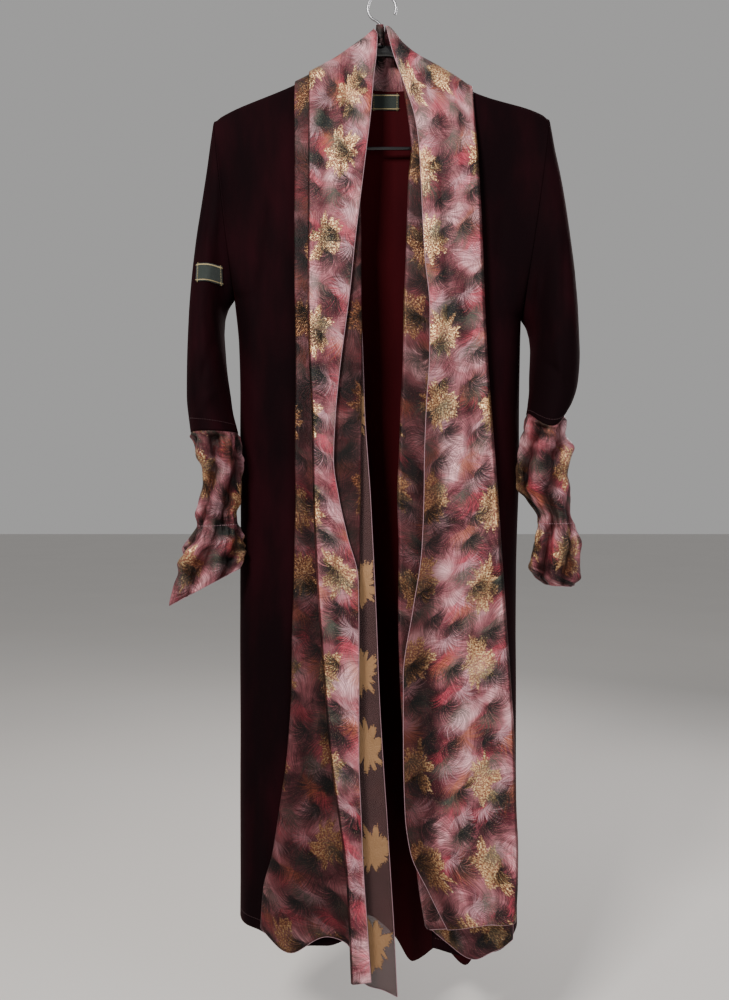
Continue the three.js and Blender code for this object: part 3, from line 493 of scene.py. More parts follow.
def drape(
    face: Face, x: np.ndarray, z: np.ndarray, lift: np.ndarray,
    share: np.ndarray | float = 1.0, edge_depth: np.ndarray | float = 0.0,
) -> np.ndarray:
    """Points of cloth that hangs from the shoulder line over the front or the back.

    Args:
        face: Front or back.
        x: Places across.
        z: Heights.
        lift: Distance outside the middle of the velvet.
        share: Fades the depth to that of a side seam.
        edge_depth: Depth of the side seam.

    Returns:
        The points, with x, y and z along the last axis.
    """
    down = np.maximum(0, shoulder_height(x) - z)
    angle = np.arccos(np.clip(1 - down / SHOULDER_ROLL, 0, 1))
    depth = (follow(DEPTH, "z", z, face.value) + lift) * np.sin(angle) + fold_relief(face, x, z)
    off = edge_depth - SEAM_LAP + (depth - edge_depth) * share
    parts = np.broadcast_arrays(x, face.sign * off, z + lift * np.cos(angle))
    return np.stack(parts, axis=-1).astype(float)


def grid_normals(points: np.ndarray, ring: bool) -> np.ndarray:
    """Outward directions of a grid whose rows run down and columns to the right, seen from outside.

    Args:
        points: The grid of points.
        ring: True if the columns close on themselves.

    Returns:
        Unit directions at the points.
    """
    down = np.gradient(points, axis=0)
    if ring:
        across = np.roll(points, -1, axis=1) - np.roll(points, 1, axis=1)
    else:
        across = np.gradient(points, axis=1)
    normals = np.cross(down, across)
    size = np.linalg.norm(normals, axis=-1, keepdims=True)
    return normals / np.maximum(size, 1e-9)


@dataclass
class Cloth:
    """A sheet of cloth as a grid of the points at its middle.

    Attributes:
        points: Rows down and columns across, in millimetres.
        thickness: Wall of the cloth.
        ring: True for a tube.
        normals: Outward directions, worked out where not given.
        uv: The cloth's own coordinates in metres, worked out where not given.
        sheer: How see-through each point is, or nothing.
        painted_shade: Painted shade at each point, darker where little cloth lies behind it and in troughs.
        lift: Distance of the cloth's middle outside the points.
        cap: Rows at the top that only bend round the armhole.
    """

    points: np.ndarray
    thickness: float
    ring: bool = False
    normals: Optional[np.ndarray] = None
    uv: Optional[np.ndarray] = None
    sheer: Optional[np.ndarray] = None
    painted_shade: Optional[np.ndarray] = None
    lift: float = 0.0
    cap: int = 0

    def __post_init__(self) -> None:
        """Fills in the directions and the cloth's own coordinates."""
        if self.normals is None:
            self.normals = grid_normals(self.points, self.ring)
        if self.uv is None:
            self.uv = self.unrolled()
        if self.painted_shade is None:
            self.painted_shade = np.ones(self.points.shape[:2])

    def closed(self) -> np.ndarray:
        """The grid, with a tube's first column repeated at its end."""
        if not self.ring:
            return self.points
        return np.concatenate([self.points, self.points[:, :1]], axis=1)

    def unrolled(self) -> np.ndarray:
        """The cloth's own coordinates: the way along each row, and the mean way down.

        Returns:
            Coordinates in metres for every point of the closed grid.
        """
        grid = self.closed()
        across = np.linalg.norm(np.diff(grid, axis=1), axis=-1)
        u = np.concatenate([np.zeros((len(grid), 1)), np.cumsum(across, axis=1)], axis=1)
        u -= u.mean(axis=1, keepdims=True)
        down = np.linalg.norm(np.diff(grid, axis=0), axis=-1).mean(axis=1)
        v = np.concatenate([[0], np.cumsum(down)])[:, None] * np.ones_like(u)
        return np.stack([u, -v], axis=-1) * MM

    def flat(self) -> tuple[float, float]:
        """Width and length of the cut, in metres.

        Returns:
            The widest row, and the longest column.
        """
        grid = self.closed()
        width = np.linalg.norm(np.diff(grid[self.cap:], axis=1), axis=-1).sum(axis=1).max()
        length = np.linalg.norm(np.diff(grid, axis=0), axis=-1).sum(axis=0).max()
        return float(width) * MM, float(length) * MM

    def line(self, row: int, lift: float) -> np.ndarray:
        """Points along one row, lifted off the cloth's middle."""
        line = self.points[row] + self.normals[row] * (self.lift + lift)
        return np.concatenate([line, line[:1]]) if self.ring else line

    def column(self, number: int, lift: float = 0.0) -> np.ndarray:
        """Points down one column, lifted off the cloth's middle."""
        return self.points[:, number] + self.normals[:, number] * (self.lift + lift)

    def mesh(self, name: str) -> Mesh:
        """Closed wall about the grid.

        Args:
            name: Name of the mesh.

        Returns:
            The mesh, in metres, with its UV map and see-through values.
        """
        rows, columns = self.points.shape[:2]
        spans = columns if self.ring else columns - 1
        quads = []

        def add(corners: list[tuple]) -> None:
            """Keeps a block of quads given as four corners of (layer, row, column)."""
            block = [np.stack(np.broadcast_arrays(*corner), axis=-1) for corner in corners]
            quads.append(np.stack(block, axis=-2).reshape(-1, 4, 3))

        i = np.arange(rows - 1)[:, None]
        j = np.arange(spans)[None, :]
        add([(0, i, j), (0, i + 1, j), (0, i + 1, j + 1), (0, i, j + 1)])
        add([(1, i, j), (1, i, j + 1), (1, i + 1, j + 1), (1, i + 1, j)])
        if not self.ring:
            end = columns - 1
            add([(0, i + 1, 0), (0, i, 0), (1, i, 0), (1, i + 1, 0)])
            add([(0, i, end), (0, i + 1, end), (1, i + 1, end), (1, i, end)])
        last = rows - 1
        add([(0, 0, j), (0, 0, j + 1), (1, 0, j + 1), (1, 0, j)])
        add([(0, last, j + 1), (0, last, j), (1, last, j), (1, last, j + 1)])
        corners = np.concatenate(quads)
        layer, row, column = corners[..., 0], corners[..., 1], corners[..., 2]
        faces = layer * rows * columns + row * columns + column % columns
        half = self.thickness / 2
        outer = self.points + self.normals * (self.lift + half)
        inner = self.points + self.normals * (self.lift - half)
        mesh = bpy.data.meshes.new(name)
        mesh.from_pydata(placed(np.concatenate([outer, inner])).tolist(), [], faces.tolist())
        places = self.uv[row.ravel(), column.ravel()]
        mesh.uv_layers.new(name=CLOTH_UV).data.foreach_set("uv", places.ravel())
        for key, values in ((SHEER, self.sheer), (SHADE_ATTRIBUTE, self.painted_shade)):
            if values is not None:
                both = np.concatenate([values.ravel(), values.ravel()])
                mesh.attributes.new(key, "FLOAT", "POINT").data.foreach_set("value", both)
        mesh.shade_smooth()
        return mesh


def placed(points: np.ndarray) -> np.ndarray:
    """Points of the garment in the shared frame, in metres, as a plain list of rows."""
    return (points.reshape(-1, 3) - [0, 0, GARMENT_DROP]) * MM


def linked(
    name: str,
    mesh: Mesh,
    material: Material,
    reverse: Optional[Material] = None,
) -> Object:
    """A piece of the garment at the origin.

    Args:
        name: Name of the piece.
        mesh: Its mesh.
        material: Its finish.
        reverse: Finish of the cloth's other side, whose points come second.

    Returns:
        The piece, riding on the garment.
    """
    piece = bpy.data.objects.new(name, mesh)
    bpy.context.scene.collection.objects.link(piece)
    mesh.materials.clear()
    mesh.materials.append(material)
    if reverse is not None:
        mesh.materials.append(reverse)
        first = len(mesh.vertices) // 2
        within = [min(face.vertices) >= first for face in mesh.polygons]
        mesh.polygons.foreach_set("material_index", np.array(within, dtype=np.int32))
    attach(piece, "root")
    LOG.info("%s: %d faces", name, len(mesh.polygons))
    return piece


class Graph:
    """Short calls that add nodes to one tree."""

    def __init__(self, tree: NodeTree) -> None:
        """Starts on a tree."""
        self.tree = tree

    def put(self, kind: str, inputs: dict, out: object = 0, **settings: object) -> NodeSocket:
        """Adds a node.

        Args:
            kind: The node's type, without its family for shader nodes.
            inputs: Sockets or values by the input's name or number.
            out: Name or number of the output to give back.
            **settings: The node's own settings.

        Returns:
            The chosen output.
        """
        family = "" if kind.startswith(("Geometry", "Function", "Node")) else "ShaderNode"
        node = self.tree.nodes.new(family + kind)
        for key, value in settings.items():
            setattr(node, key, value)
        self.fill(node, inputs)
        return node.outputs[out]

    def fill(self, node: Node, inputs: dict) -> None:
        """Links or sets a node's inputs.

        Args:
            node: The node.
            inputs: Sockets or values by the input's name or number.
        """
        for key, value in inputs.items():
            if isinstance(value, NodeSocket):
                self.tree.links.new(value, node.inputs[key])
            else:
                node.inputs[key].default_value = value

    def math(self, operation: str, a: object, b: object = 0.0, clamp: bool = False) -> NodeSocket:
        """A sum of two values."""
        return self.put("Math", {0: a, 1: b}, operation=operation, use_clamp=clamp)

    def ease(self, value: object, low: float, high: float) -> NodeSocket:
        """A smooth step of a value from 0 at low to 1 at high."""
        ends = {"Value": value, "From Min": low, "From Max": high}
        return self.put("MapRange", ends, interpolation_type="SMOOTHSTEP")

    def blend(self, share: object, a: object, b: object, mode: str = "MIX") -> NodeSocket:
        """Two colours mixed by a share."""
        return self.put("Mix", {0: share, 6: a, 7: b}, 2, data_type="RGBA", blend_type=mode)

    def noise(self, place: object, scale: float, detail: float = 2.0) -> NodeSocket:
        """Soft noise between 0 and 1."""
        return self.put("TexNoise", {"Vector": place, "Scale": scale, "Detail": detail})

    def stretched(self, place: object, by: tuple[float, float, float]) -> NodeSocket:
        """A place with each of its axes scaled."""
        return self.put("VectorMath", {0: place, 1: by}, operation="MULTIPLY")

    def ramp(self, value: object, stops: Sequence[tuple]) -> NodeSocket:
        """A colour read off a row of stops.

        Args:
            value: Where to read it.
            stops: Places with their colours.

        Returns:
            The colour.
        """
        colour = self.put("ValToRGB", {0: value})
        band = colour.node.color_ramp
        for k, (place, tint) in enumerate(stops):
            stop = band.elements[k] if k < 2 else band.elements.new(place)
            stop.position = place
            stop.color = tint
        return colour


def tint(red: int, green: int, blue: int) -> Colour:
    """A colour as the eye counts it, turned to light.

    Args:
        red: Its red, from 0 to 255.
        green: Its green.
        blue: Its blue.

    Returns:
        The colour, without see-through.
    """
    shares = [channel / 255 for channel in (red, green, blue)]
    light = [s / 12.92 if s <= 0.04045 else ((s + 0.055) / 1.055) ** 2.4 for s in shares]
    return (*light, 1.0)


def new_group(
    name: str, inputs: dict, outputs: dict, family: str = "ShaderNodeTree"
) -> tuple[Graph, dict, Node]:
    """Starts a group of nodes.

    Args:
        name: Name of the group.
        inputs: Kinds of its inputs by name.
        outputs: Kinds of its outputs by name.
        family: Kind of tree.

    Returns:
        A graph on the group, its inputs by name, and the node that its results go to.
    """
    tree = bpy.data.node_groups.new(name, family)
    for way, sockets in (("INPUT", inputs), ("OUTPUT", outputs)):
        for key, kind in sockets.items():
            tree.interface.new_socket(key, in_out=way, socket_type="NodeSocket" + kind)
    start = tree.nodes.new("NodeGroupInput")
    end = tree.nodes.new("NodeGroupOutput")
    return Graph(tree), {key: start.outputs[key] for key in inputs}, end


def finish_group(graph: Graph, end: Node, results: dict) -> NodeTree:
    """Links a group's results to its outputs and gives back the group."""
    graph.fill(end, results)
    return graph.tree


def weave_group() -> NodeTree:
    """Group of crossing threads: their height, at so many to the metre.

    Returns:
        The group's tree.
    """
    graph, given, end = new_group(
        "weave", {"Place": "Vector", "Threads": "Float"}, {"Height": "Float"}
    )
    parts = graph.put("SeparateXYZ", {0: given["Place"]}).node
    waves = []
    for axis in ("X", "Y"):
        turns = graph.math("MULTIPLY", parts.outputs[axis], given["Threads"])
        waves.append(graph.math("SINE", graph.math("MULTIPLY", turns, 2 * math.pi)))
    both = graph.math("MULTIPLY", *waves)
    uneven = graph.noise(given["Place"], 700.0, 2.0)
    return finish_group(graph, end, {"Height": graph.math("MULTIPLY", both, uneven)})


def nap_sheen_group() -> NodeTree:
    """Group of a pile in soft patches: a share of painted sheen, partly the pile's own tone, and a fine
    height.

    Returns:
        The group's tree.
    """
    graph, given, end = new_group(
        "nap_sheen", {"Place": "Vector", "Patch": "Float"}, {"Lit": "Float", "Height": "Float"}
    )
    tall = graph.stretched(given["Place"], (1.0, 1.0, 0.3))
    soft = graph.put("TexNoise", {"Vector": tall, "Scale": given["Patch"], "Detail": 4.0})
    fine = graph.noise(given["Place"], 900.0, 2.0)
    lit = graph.math("ADD", graph.ease(soft, 0.35, 0.72), graph.math("MULTIPLY", fine, 0.25))
    return finish_group(graph, end, {"Lit": lit, "Height": fine})


def fan_group() -> NodeTree:
    """Group of motifs strewn over the cloth: turned direction, reach from the middle, and chance.

    Returns:
        The group's tree.
    """
    graph, given, end = new_group(
        "strewn_motif",
        {"Place": "Vector", "Repeat": "Vector", "Swirl": "Float", "Jitter": "Float"},
        {"Strand": "Vector", "Reach": "Float", "Lean": "Float", "Chance": "Float"},
    )
    place = graph.put("VectorMath", {0: given["Place"], 1: given["Repeat"]}, operation="MULTIPLY")
    cell = graph.put(
        "TexVoronoi",
        {"Vector": place, "Scale": 1.0, "Randomness": given["Jitter"]},
        "Position",
        voronoi_dimensions="2D",
    )
    chance = graph.put("SeparateXYZ", {0: cell.node.outputs["Color"]})
    off = graph.put("VectorMath", {0: place, 1: cell}, operation="SUBTRACT")
    reach = graph.put("VectorMath", {0: off}, "Value", operation="LENGTH")
    parts = graph.put("SeparateXYZ", {0: off}).node
    turn = graph.math("ARCTAN2", parts.outputs["Y"], parts.outputs["X"])
    swirled = graph.math("MULTIPLY_ADD", reach, given["Swirl"])
    graph.tree.links.new(turn, swirled.node.inputs[2])
    lean = graph.math("COSINE", graph.math("ADD", turn, 2.3))
    shift = graph.math("MULTIPLY_ADD", chance, 40.0)
    graph.tree.links.new(reach, shift.node.inputs[2])
    flat = {0: graph.math("COSINE", swirled), 1: graph.math("SINE", swirled), 2: shift}
    strand = graph.put("CombineXYZ", flat)
    return finish_group(graph, end, {"Strand": strand, "Reach": reach, "Lean": lean, "Chance": chance})


@dataclass(frozen=True)
class Fans:
    """One kind of hair-fine frond that is strewn over the print.

    Attributes:
        repeat: Fans to the metre, across and down.
        swirl: How far a frond turns on its way out.
        hairs: Hairs round a fan.
        reach: Where the fans end, as a share of their repeat.
        gap: Share of the hairs left out.
        seed: Shifts the fans.
        colour: Colour of the hairs.
        strength: How far they cover what lies under them.
    """

    repeat: tuple[float, float]
    swirl: float
    hairs: float
    reach: float
    gap: float
    seed: float
    colour: Colour
    strength: float

    def over(self, graph: Graph, fans: NodeTree, place: object, under: object) -> object:
        """Draws the fronds over a colour.

        Args:
            graph: Graph to draw in.
            fans: The group of strewn motifs.
            place: The cloth's own coordinates.
            under: The colour below.

        Returns:
            The colour with the fronds on it.
        """
        group = strewn(graph, fans, place, self.repeat, self.swirl, self.seed)
        strand = graph.stretched(group.outputs["Strand"], (self.hairs, self.hairs, 1.8))
        fade = graph.ease(group.outputs["Reach"], self.reach, 0.1 * self.reach)
        thick = graph.math("ADD", graph.noise(strand, 1.0, 3.0), graph.math("MULTIPLY", fade, 0.22))
        line = graph.ease(thick, self.gap + 0.1, self.gap + 0.26)
        side = graph.ease(group.outputs["Lean"], -0.7, 0.4)
        share = graph.math("MULTIPLY", graph.math("MULTIPLY", line, fade), side)
        return graph.blend(graph.math("MULTIPLY", share, self.strength), under, self.colour)


def strewn(
    graph: Graph,
    fans: NodeTree,
    place: object,
    repeat: tuple[float, float],
    swirl: float,
    seed: float,
    jitter: float = 0.5,
) -> Node:
    """Puts the group of strewn motifs in a graph.

    Args:
        graph: Graph to put it in.
        fans: The group.
        place: The cloth's own coordinates.
        repeat: Motifs to the metre, across and down.
        swirl: Turn of the motif on its way out.
        seed: Shifts the motifs.
        jitter: How far they stray from their rows.

    Returns:
        The group's node.
    """
    moved = graph.put("VectorMath", {0: place, 1: (seed, 0.37 * seed, 0.0)}, operation="ADD")
    sizes = {"Place": moved, "Repeat": (*repeat, 0.0), "Swirl": swirl, "Jitter": jitter}
    return grouped(graph, fans, sizes)


ROSE = Fans((17.0, 14.5), -1.5, 13.0, 0.7, 0.47, 3.1, tint(184, 66, 84), 0.62)
WINE = Fans((17.5, 16.0), 1.6, 14.0, 0.66, 0.45, 12.4, tint(72, 20, 32), 0.75)
RUST = Fans((13.0, 11.5), 0.8, 14.0, 0.5, 0.46, 37.2, tint(166, 94, 62), 0.6)
LILAC = Fans((17.0, 17.5), 1.2, 15.0, 0.64, 0.49, 7.7, tint(212, 168, 178), 0.54)
MOSS = Fans((18.0, 17.0), -1.7, 15.0, 0.7, 0.45, 23.9, tint(66, 80, 70), 0.75)
INK = Fans((20.0, 19.0), 2.1, 13.0, 0.8, 0.42, 19.3, tint(14, 19, 21), 0.95)
LEAF_REPEAT = (12.5, 8.6)
LEAF_SEED = 31.7
LEAF_JITTER = 0.35
LEAF_RIM = -0.115
LEAF_LEFT_OUT = 0.06
BARB_REPEAT = (11.5, 9.5)
BARB_SEEDS = (41.0, 53.3)
GROUND_SCALE = 15.0
GRAIN_SCALE = 420.0
SPARKLE_SCALE = 760.0
GROUND = [
    (0.34, tint(30, 14, 18)), (0.44, tint(92, 46, 54)), (0.56, tint(158, 98, 106)),
    (0.68, tint(222, 172, 178)),
]
# metallic gilt of the leaves, its palest stops painted glints
GILT_WITH_GLINTS = [
    (0.34, tint(92, 50, 34)), (0.46, tint(172, 118, 80)), (0.56, tint(232, 190, 136)),
    (0.66, tint(255, 244, 200)),
]


def feathered(graph: Graph, fans: NodeTree, place: object, colour: object) -> object:
    """Runs hair-fine curved barbs through a colour, darker and lighter by turns.

    Args:
        graph: Graph to draw in.
        fans: The group of strewn motifs.
        place: The cloth's own coordinates.
        colour: The colour that they run through.

    Returns:
        The colour with the barbs.
    """
    for k, seed in enumerate(BARB_SEEDS):
        curl = strewn(graph, fans, place, BARB_REPEAT, 1.6 - 3.0 * k, seed)
        strand = graph.stretched(curl.outputs["Strand"], (30.0, 30.0, 2.0))
        ends = {"Value": graph.noise(strand, 1.0, 5.0), "From Min": 0.32, "From Max": 0.68}
        shade = graph.put("MapRange", {**ends, "To Min": 0.3, "To Max": 1.7})
        grey = graph.put("CombineColor", {0: shade, 1: shade, 2: shade})
        fade = graph.ease(curl.outputs["Reach"], 0.75, 0.3)
        colour = graph.blend(graph.math("MULTIPLY", fade, 0.8), colour, grey, "MULTIPLY")
    return colour


def print_group(fans: NodeTree) -> NodeTree:
    """Group of the chiffon's print: fronds, rose streaks and gilded leaves on a mauve ground.

    Args:
        fans: The group of strewn motifs.

    Returns:
        The group, with the colour, the leaves, their glints and the height of the crinkle.
    """
    results = {"Color": "Color", "Leaf": "Float", "Glint": "Float", "Height": "Float"}
    graph, given, end = new_group("leaf_print", {"Place": "Vector"}, results)
    place = given["Place"]
    colour = graph.ramp(graph.noise(place, GROUND_SCALE, 4.0), GROUND)
    for kind in (ROSE, WINE, RUST, LILAC):
        colour = kind.over(graph, fans, place, colour)
    colour = feathered(graph, fans, place, colour)
    leaf = strewn(graph, fans, place, LEAF_REPEAT, 0.4, LEAF_SEED, LEAF_JITTER)
    spikes = graph.noise(graph.stretched(leaf.outputs["Strand"], (2.6, 2.6, 1.0)), 1.0, 5.0)
    grain = graph.noise(place, GRAIN_SCALE, 4.0)
    rim = graph.math("MULTIPLY_ADD", spikes, 0.6)
    rim.node.inputs[2].default_value = LEAF_RIM
    frayed = graph.math("ADD", rim, graph.math("MULTIPLY", grain, 0.16))
    inside = graph.ease(graph.math("SUBTRACT", frayed, leaf.outputs["Reach"]), 0.0, 0.05)
    kept = graph.math("GREATER_THAN", leaf.outputs["Chance"], LEAF_LEFT_OUT)
    whole = graph.math("MULTIPLY", inside, kept)
    veins = graph.noise(graph.stretched(leaf.outputs["Strand"], (11.0, 11.0, 14.0)), 1.0, 4.0)
    glint = graph.math("MULTIPLY", whole, graph.ease(graph.blend(0.5, grain, veins), 0.4, 0.55))
    # gilt of the leaves: partly metallic colour, partly painted glints where it runs to near white
    gilt = graph.ramp(graph.blend(0.3, grain, veins), GILT_WITH_GLINTS)
    colour = graph.blend(graph.math("MULTIPLY", whole, 0.55), colour, tint(118, 74, 56))
    colour = graph.blend(graph.math("MULTIPLY", glint, 0.95), colour, gilt)
    for kind in (MOSS, INK):
        colour = kind.over(graph, fans, place, colour)
    # lurex specks: partly metallic, partly painted glints in pale gold
    lurex_glint = graph.math("MULTIPLY", graph.ease(graph.noise(place, SPARKLE_SCALE, 1.0), 0.63, 0.72), 0.2)
    colour = graph.blend(lurex_glint, colour, tint(244, 214, 170))
    glint = graph.math("ADD", glint, graph.math("MULTIPLY", lurex_glint, 0.5), True)
    crinkle = graph.noise(graph.stretched(place, (620.0, 150.0, 1.0)), 1.0, 4.0)
    height = graph.math("ADD", crinkle, graph.math("MULTIPLY", grain, glint))
    found = {"Color": colour, "Leaf": whole, "Glint": glint, "Height": height}
    return finish_group(graph, end, found)


@dataclass
class Groups:
    """The shader groups that the finishes share."""

    weave: NodeTree = field(default_factory=weave_group)
    nap_sheen: NodeTree = field(default_factory=nap_sheen_group)
    fans: NodeTree = field(default_factory=fan_group)
    leaf_print: Optional[NodeTree] = None

    def __post_init__(self) -> None:
        """Builds the print from the strewn motifs."""
        self.leaf_print = print_group(self.fans)


def start_material(name: str) -> tuple[Material, Graph, Node]:
    """Starts a material.

    Args:
        name: Name of the material.

    Returns:
        The material, its graph and its main shader.
    """
    material = bpy.data.materials.new(name)
    material.use_nodes = True
    return material, Graph(material.node_tree), material.node_tree.nodes["Principled BSDF"]


def bump(graph: Graph, height: object, strength: float, distance: float) -> NodeSocket:
    """Normal of a fine relief."""
    return graph.put("Bump", {"Height": height, "Strength": strength, "Distance": distance})


def grouped(graph: Graph, tree: NodeTree, inputs: dict) -> Node:
    """Puts a shader group in a graph with its inputs linked or set.

    Args:
        graph: Graph to put it in.
        tree: The group.
        inputs: Sockets or values by the input's name.

    Returns:
        The group's node.
    """
    node = graph.tree.nodes.new("ShaderNodeGroup")
    node.node_tree = tree
    graph.fill(node, inputs)
    return node


@dataclass(frozen=True)
class Velvet:
    """Dark wine velvet that glows red where the light grazes its pile."""

    deep: Colour = tint(7, 1, 3)
    lit: Colour = tint(28, 3, 8)
    glow: Colour = tint(150, 20, 40)
    sheen: float = 0.05
    patch: float = 16.0

    def material(self, groups: Groups) -> Material:
        """The velvet's material.

        Args:
            groups: Shader groups of the scene.

        Returns:
            The material, nearly black where it faces the light.
        """
        material, graph, shader = start_material("wine_velvet")
        place = graph.put("TexCoord", {}, "Object")
        nap_sheen = grouped(graph, groups.nap_sheen, {"Place": place, "Patch": self.patch})
        # painted sheen: patches of the pile painted lighter from deep to lit, partly the pile's own tone
        colour = graph.blend(nap_sheen.outputs["Lit"], self.deep, self.lit)
        normal = bump(graph, nap_sheen.outputs["Height"], 0.5, 0.0006)
        graph.fill(shader, {"Base Color": colour, "Normal": normal})
        fixed = {
            "Roughness": 0.85, "Specular IOR Level": 0.06, "Sheen Weight": self.sheen,
            "Sheen Roughness": 0.38, "Sheen Tint": self.glow,
        }
        graph.fill(shader, fixed)
        return material


@dataclass(frozen=True)
class Reverse:
    """The flat woven reverse of the velvet, redder than its pile."""

    deep: Colour = tint(30, 2, 6)
    lit: Colour = tint(54, 5, 11)

    def material(self, groups: Groups) -> Material:
        """The material of the velvet's reverse.

        Args:
            groups: Shader groups of the scene.

        Returns:
            The material, a woven ground.
        """
        material, graph, shader = start_material("velvet_reverse")
        place = graph.put("TexCoord", {}, "Object")
        cloth = graph.put("UVMap", {}, uv_map=CLOTH_UV)
        weave = grouped(graph, groups.weave, {"Place": cloth, "Threads": 900.0})
        nap_sheen = grouped(graph, groups.nap_sheen, {"Place": place, "Patch": 9.0})
        # the velvet's patches, partly the cloth's own tone and partly painted sheen, painted lighter from
        # deep to lit
        colour = graph.blend(nap_sheen.outputs["Lit"], self.deep, self.lit)
        normal = bump(graph, weave.outputs["Height"], 0.3, 0.0004)
        graph.fill(shader, {"Base Color": colour, "Normal": normal})
        graph.fill(shader, {"Roughness": 0.9, "Specular IOR Level": 0.08})
        return material


@dataclass(frozen=True)
class Chiffon:
    """Printed chiffon with gilded leaves, see-through where it hangs free, with painted shade where little
    cloth backs it.
    """

    name: str
    see_through: bool = False
    clear: float = 0.34
    # floors of the painted shade, for red and then for green and blue, where no cloth backs the chiffon
    red_shade_floor: float = 0.1
    deep: float = 0.035
    veil: Colour = tint(78, 57, 57)
    leaf: Colour = tint(158, 122, 88)

    def material(self, groups: Groups) -> Material:
        """The chiffon's material.

        Args:
            groups: Shader groups of the scene.

        Returns:
            The printed material, with painted shade that darkens it where little cloth backs it.
        """
        material, graph, shader = start_material(self.name)
        place = graph.put("UVMap", {}, uv_map=CLOTH_UV)
        dye = grouped(graph, groups.leaf_print, {"Place": place})
        weave = grouped(graph, groups.weave, {"Place": place, "Threads": 1400.0})
        colour, leaf, glint = (dye.outputs[key] for key in ("Color", "Leaf", "Glint"))
        threads = graph.math("MULTIPLY", weave.outputs["Height"], 0.25)
        relief = graph.math("ADD", dye.outputs["Height"], threads)
        rough = graph.put("MapRange", {"Value": glint, "To Min": 0.46, "To Max": 0.32})
        metal = graph.math("MULTIPLY", glint, 0.7)
        # painted shade: the print is darkened by the per-point shade, keeping more of its red than its
        # green and blue
        painted_shade = graph.put("Attribute", {}, "Fac", attribute_name=SHADE_ATTRIBUTE)
        lit = graph.put("MapRange", {"Value": painted_shade, "To Min": self.red_shade_floor, "To Max": 1.0})
        deep = graph.put("MapRange", {"Value": painted_shade, "To Min": self.deep, "To Max": 1.0})
        shade = graph.put("CombineColor", {0: lit, 1: deep, 2: deep})
        colour = graph.blend(1.0, colour, shade, "MULTIPLY")
        if self.see_through:
            sheer = graph.put("Attribute", {}, "Fac", attribute_name=SHEER)
            bare = graph.math("MULTIPLY", sheer, graph.math("SUBTRACT", 1.0, leaf))
            colour = graph.blend(graph.math("MULTIPLY", bare, 0.85), colour, self.veil)
            flat = graph.math("MULTIPLY", graph.math("MULTIPLY", sheer, leaf), 0.9)
            colour = graph.blend(flat, colour, self.leaf)
            alpha = graph.math("SUBTRACT", 1.0, graph.math("MULTIPLY", bare, self.clear))
            graph.fill(shader, {"Alpha": alpha})
        normal = bump(graph, relief, 0.45, 0.0009)
        graph.fill(shader, {"Base Color": colour, "Metallic": metal, "Roughness": rough, "Normal": normal})
        graph.fill(shader, {"Sheen Weight": 0.01, "Specular IOR Level": 0.13})
        return material


@dataclass(frozen=True)
class Woven:
    """Dark green woven label with a pale gold line along its upper and lower edges."""

    name: str
    height: float
    ground: Colour = tint(9, 20, 17)
    line: Colour = tint(176, 158, 112)
    line_width: float = 0.0011

    def material(self, groups: Groups) -> Material:
        """The label's material.

        Args:
            groups: Shader groups of the scene.

        Returns:
            The material, with its two gold lines.
        """
        material, graph, shader = start_material(self.name)
        place = graph.put("UVMap", {}, uv_map=CLOTH_UV)
        weave = grouped(graph, groups.weave, {"Place": place, "Threads": 1900.0})
        down = graph.put("SeparateXYZ", {0: place}, "Y")
        off = graph.math("ABSOLUTE", graph.math("ADD", down, self.height / 2))
        inner = self.height / 2 - 2 * self.line_width
        one = graph.math("GREATER_THAN", off, inner)
        two = graph.math("LESS_THAN", off, inner + self.line_width)
        threads = graph.noise(place, 1500.0, 2.0)
        ground = graph.blend(threads, self.ground, tint(20, 38, 31))
        colour = graph.blend(graph.math("MULTIPLY", one, two), ground, self.line)
        normal = bump(graph, weave.outputs["Height"], 0.6, 0.0004)
        graph.fill(shader, {"Base Color": colour, "Normal": normal})
        graph.fill(shader, {"Roughness": 0.62, "Sheen Weight": 0.15})
        return material


@dataclass(frozen=True)
class Thread:
    """Sewing thread or a rolled edge, with a fine twist."""

    name: str
    dark: Colour
    light: Colour
    roughness: float = 0.6

    def material(self) -> Material:
        """The thread's material.

        Returns:
            The material, with its twist.
        """
        material, graph, shader = start_material(self.name)
        place = graph.put("TexCoord", {}, "Object")
        twist = graph.noise(graph.stretched(place, (900.0, 900.0, 420.0)), 1.0, 2.0)
        graph.fill(shader, {"Base Color": graph.blend(twist, self.dark, self.light)})
        graph.fill(shader, {"Normal": bump(graph, twist, 0.5, 0.0003)})
        graph.fill(shader, {"Roughness": self.roughness})
        return material


@dataclass(frozen=True)
class Plastic:
    """Glossy black plastic of the hanger, with faint scuffs."""

    colour: Colour = tint(20, 20, 22)
    worn: Colour = tint(38, 37, 38)

    def material(self) -> Material:
        """The plastic's material.

        Returns:
            The material, rougher where it is worn.
        """
        material, graph, shader = start_material("hanger_plastic_black")
        place = graph.put("TexCoord", {}, "Object")
        scuff = graph.noise(graph.stretched(place, (30.0, 160.0, 160.0)), 1.0, 5.0)
        worn = graph.ease(scuff, 0.52, 0.74)
        rough = graph.put("MapRange", {"Value": worn, "To Min": 0.2, "To Max": 0.42})
        graph.fill(shader, {"Base Color": graph.blend(worn, self.colour, self.worn), "Roughness": rough})
        graph.fill(shader, {"Coat Weight": 0.35})
        return material


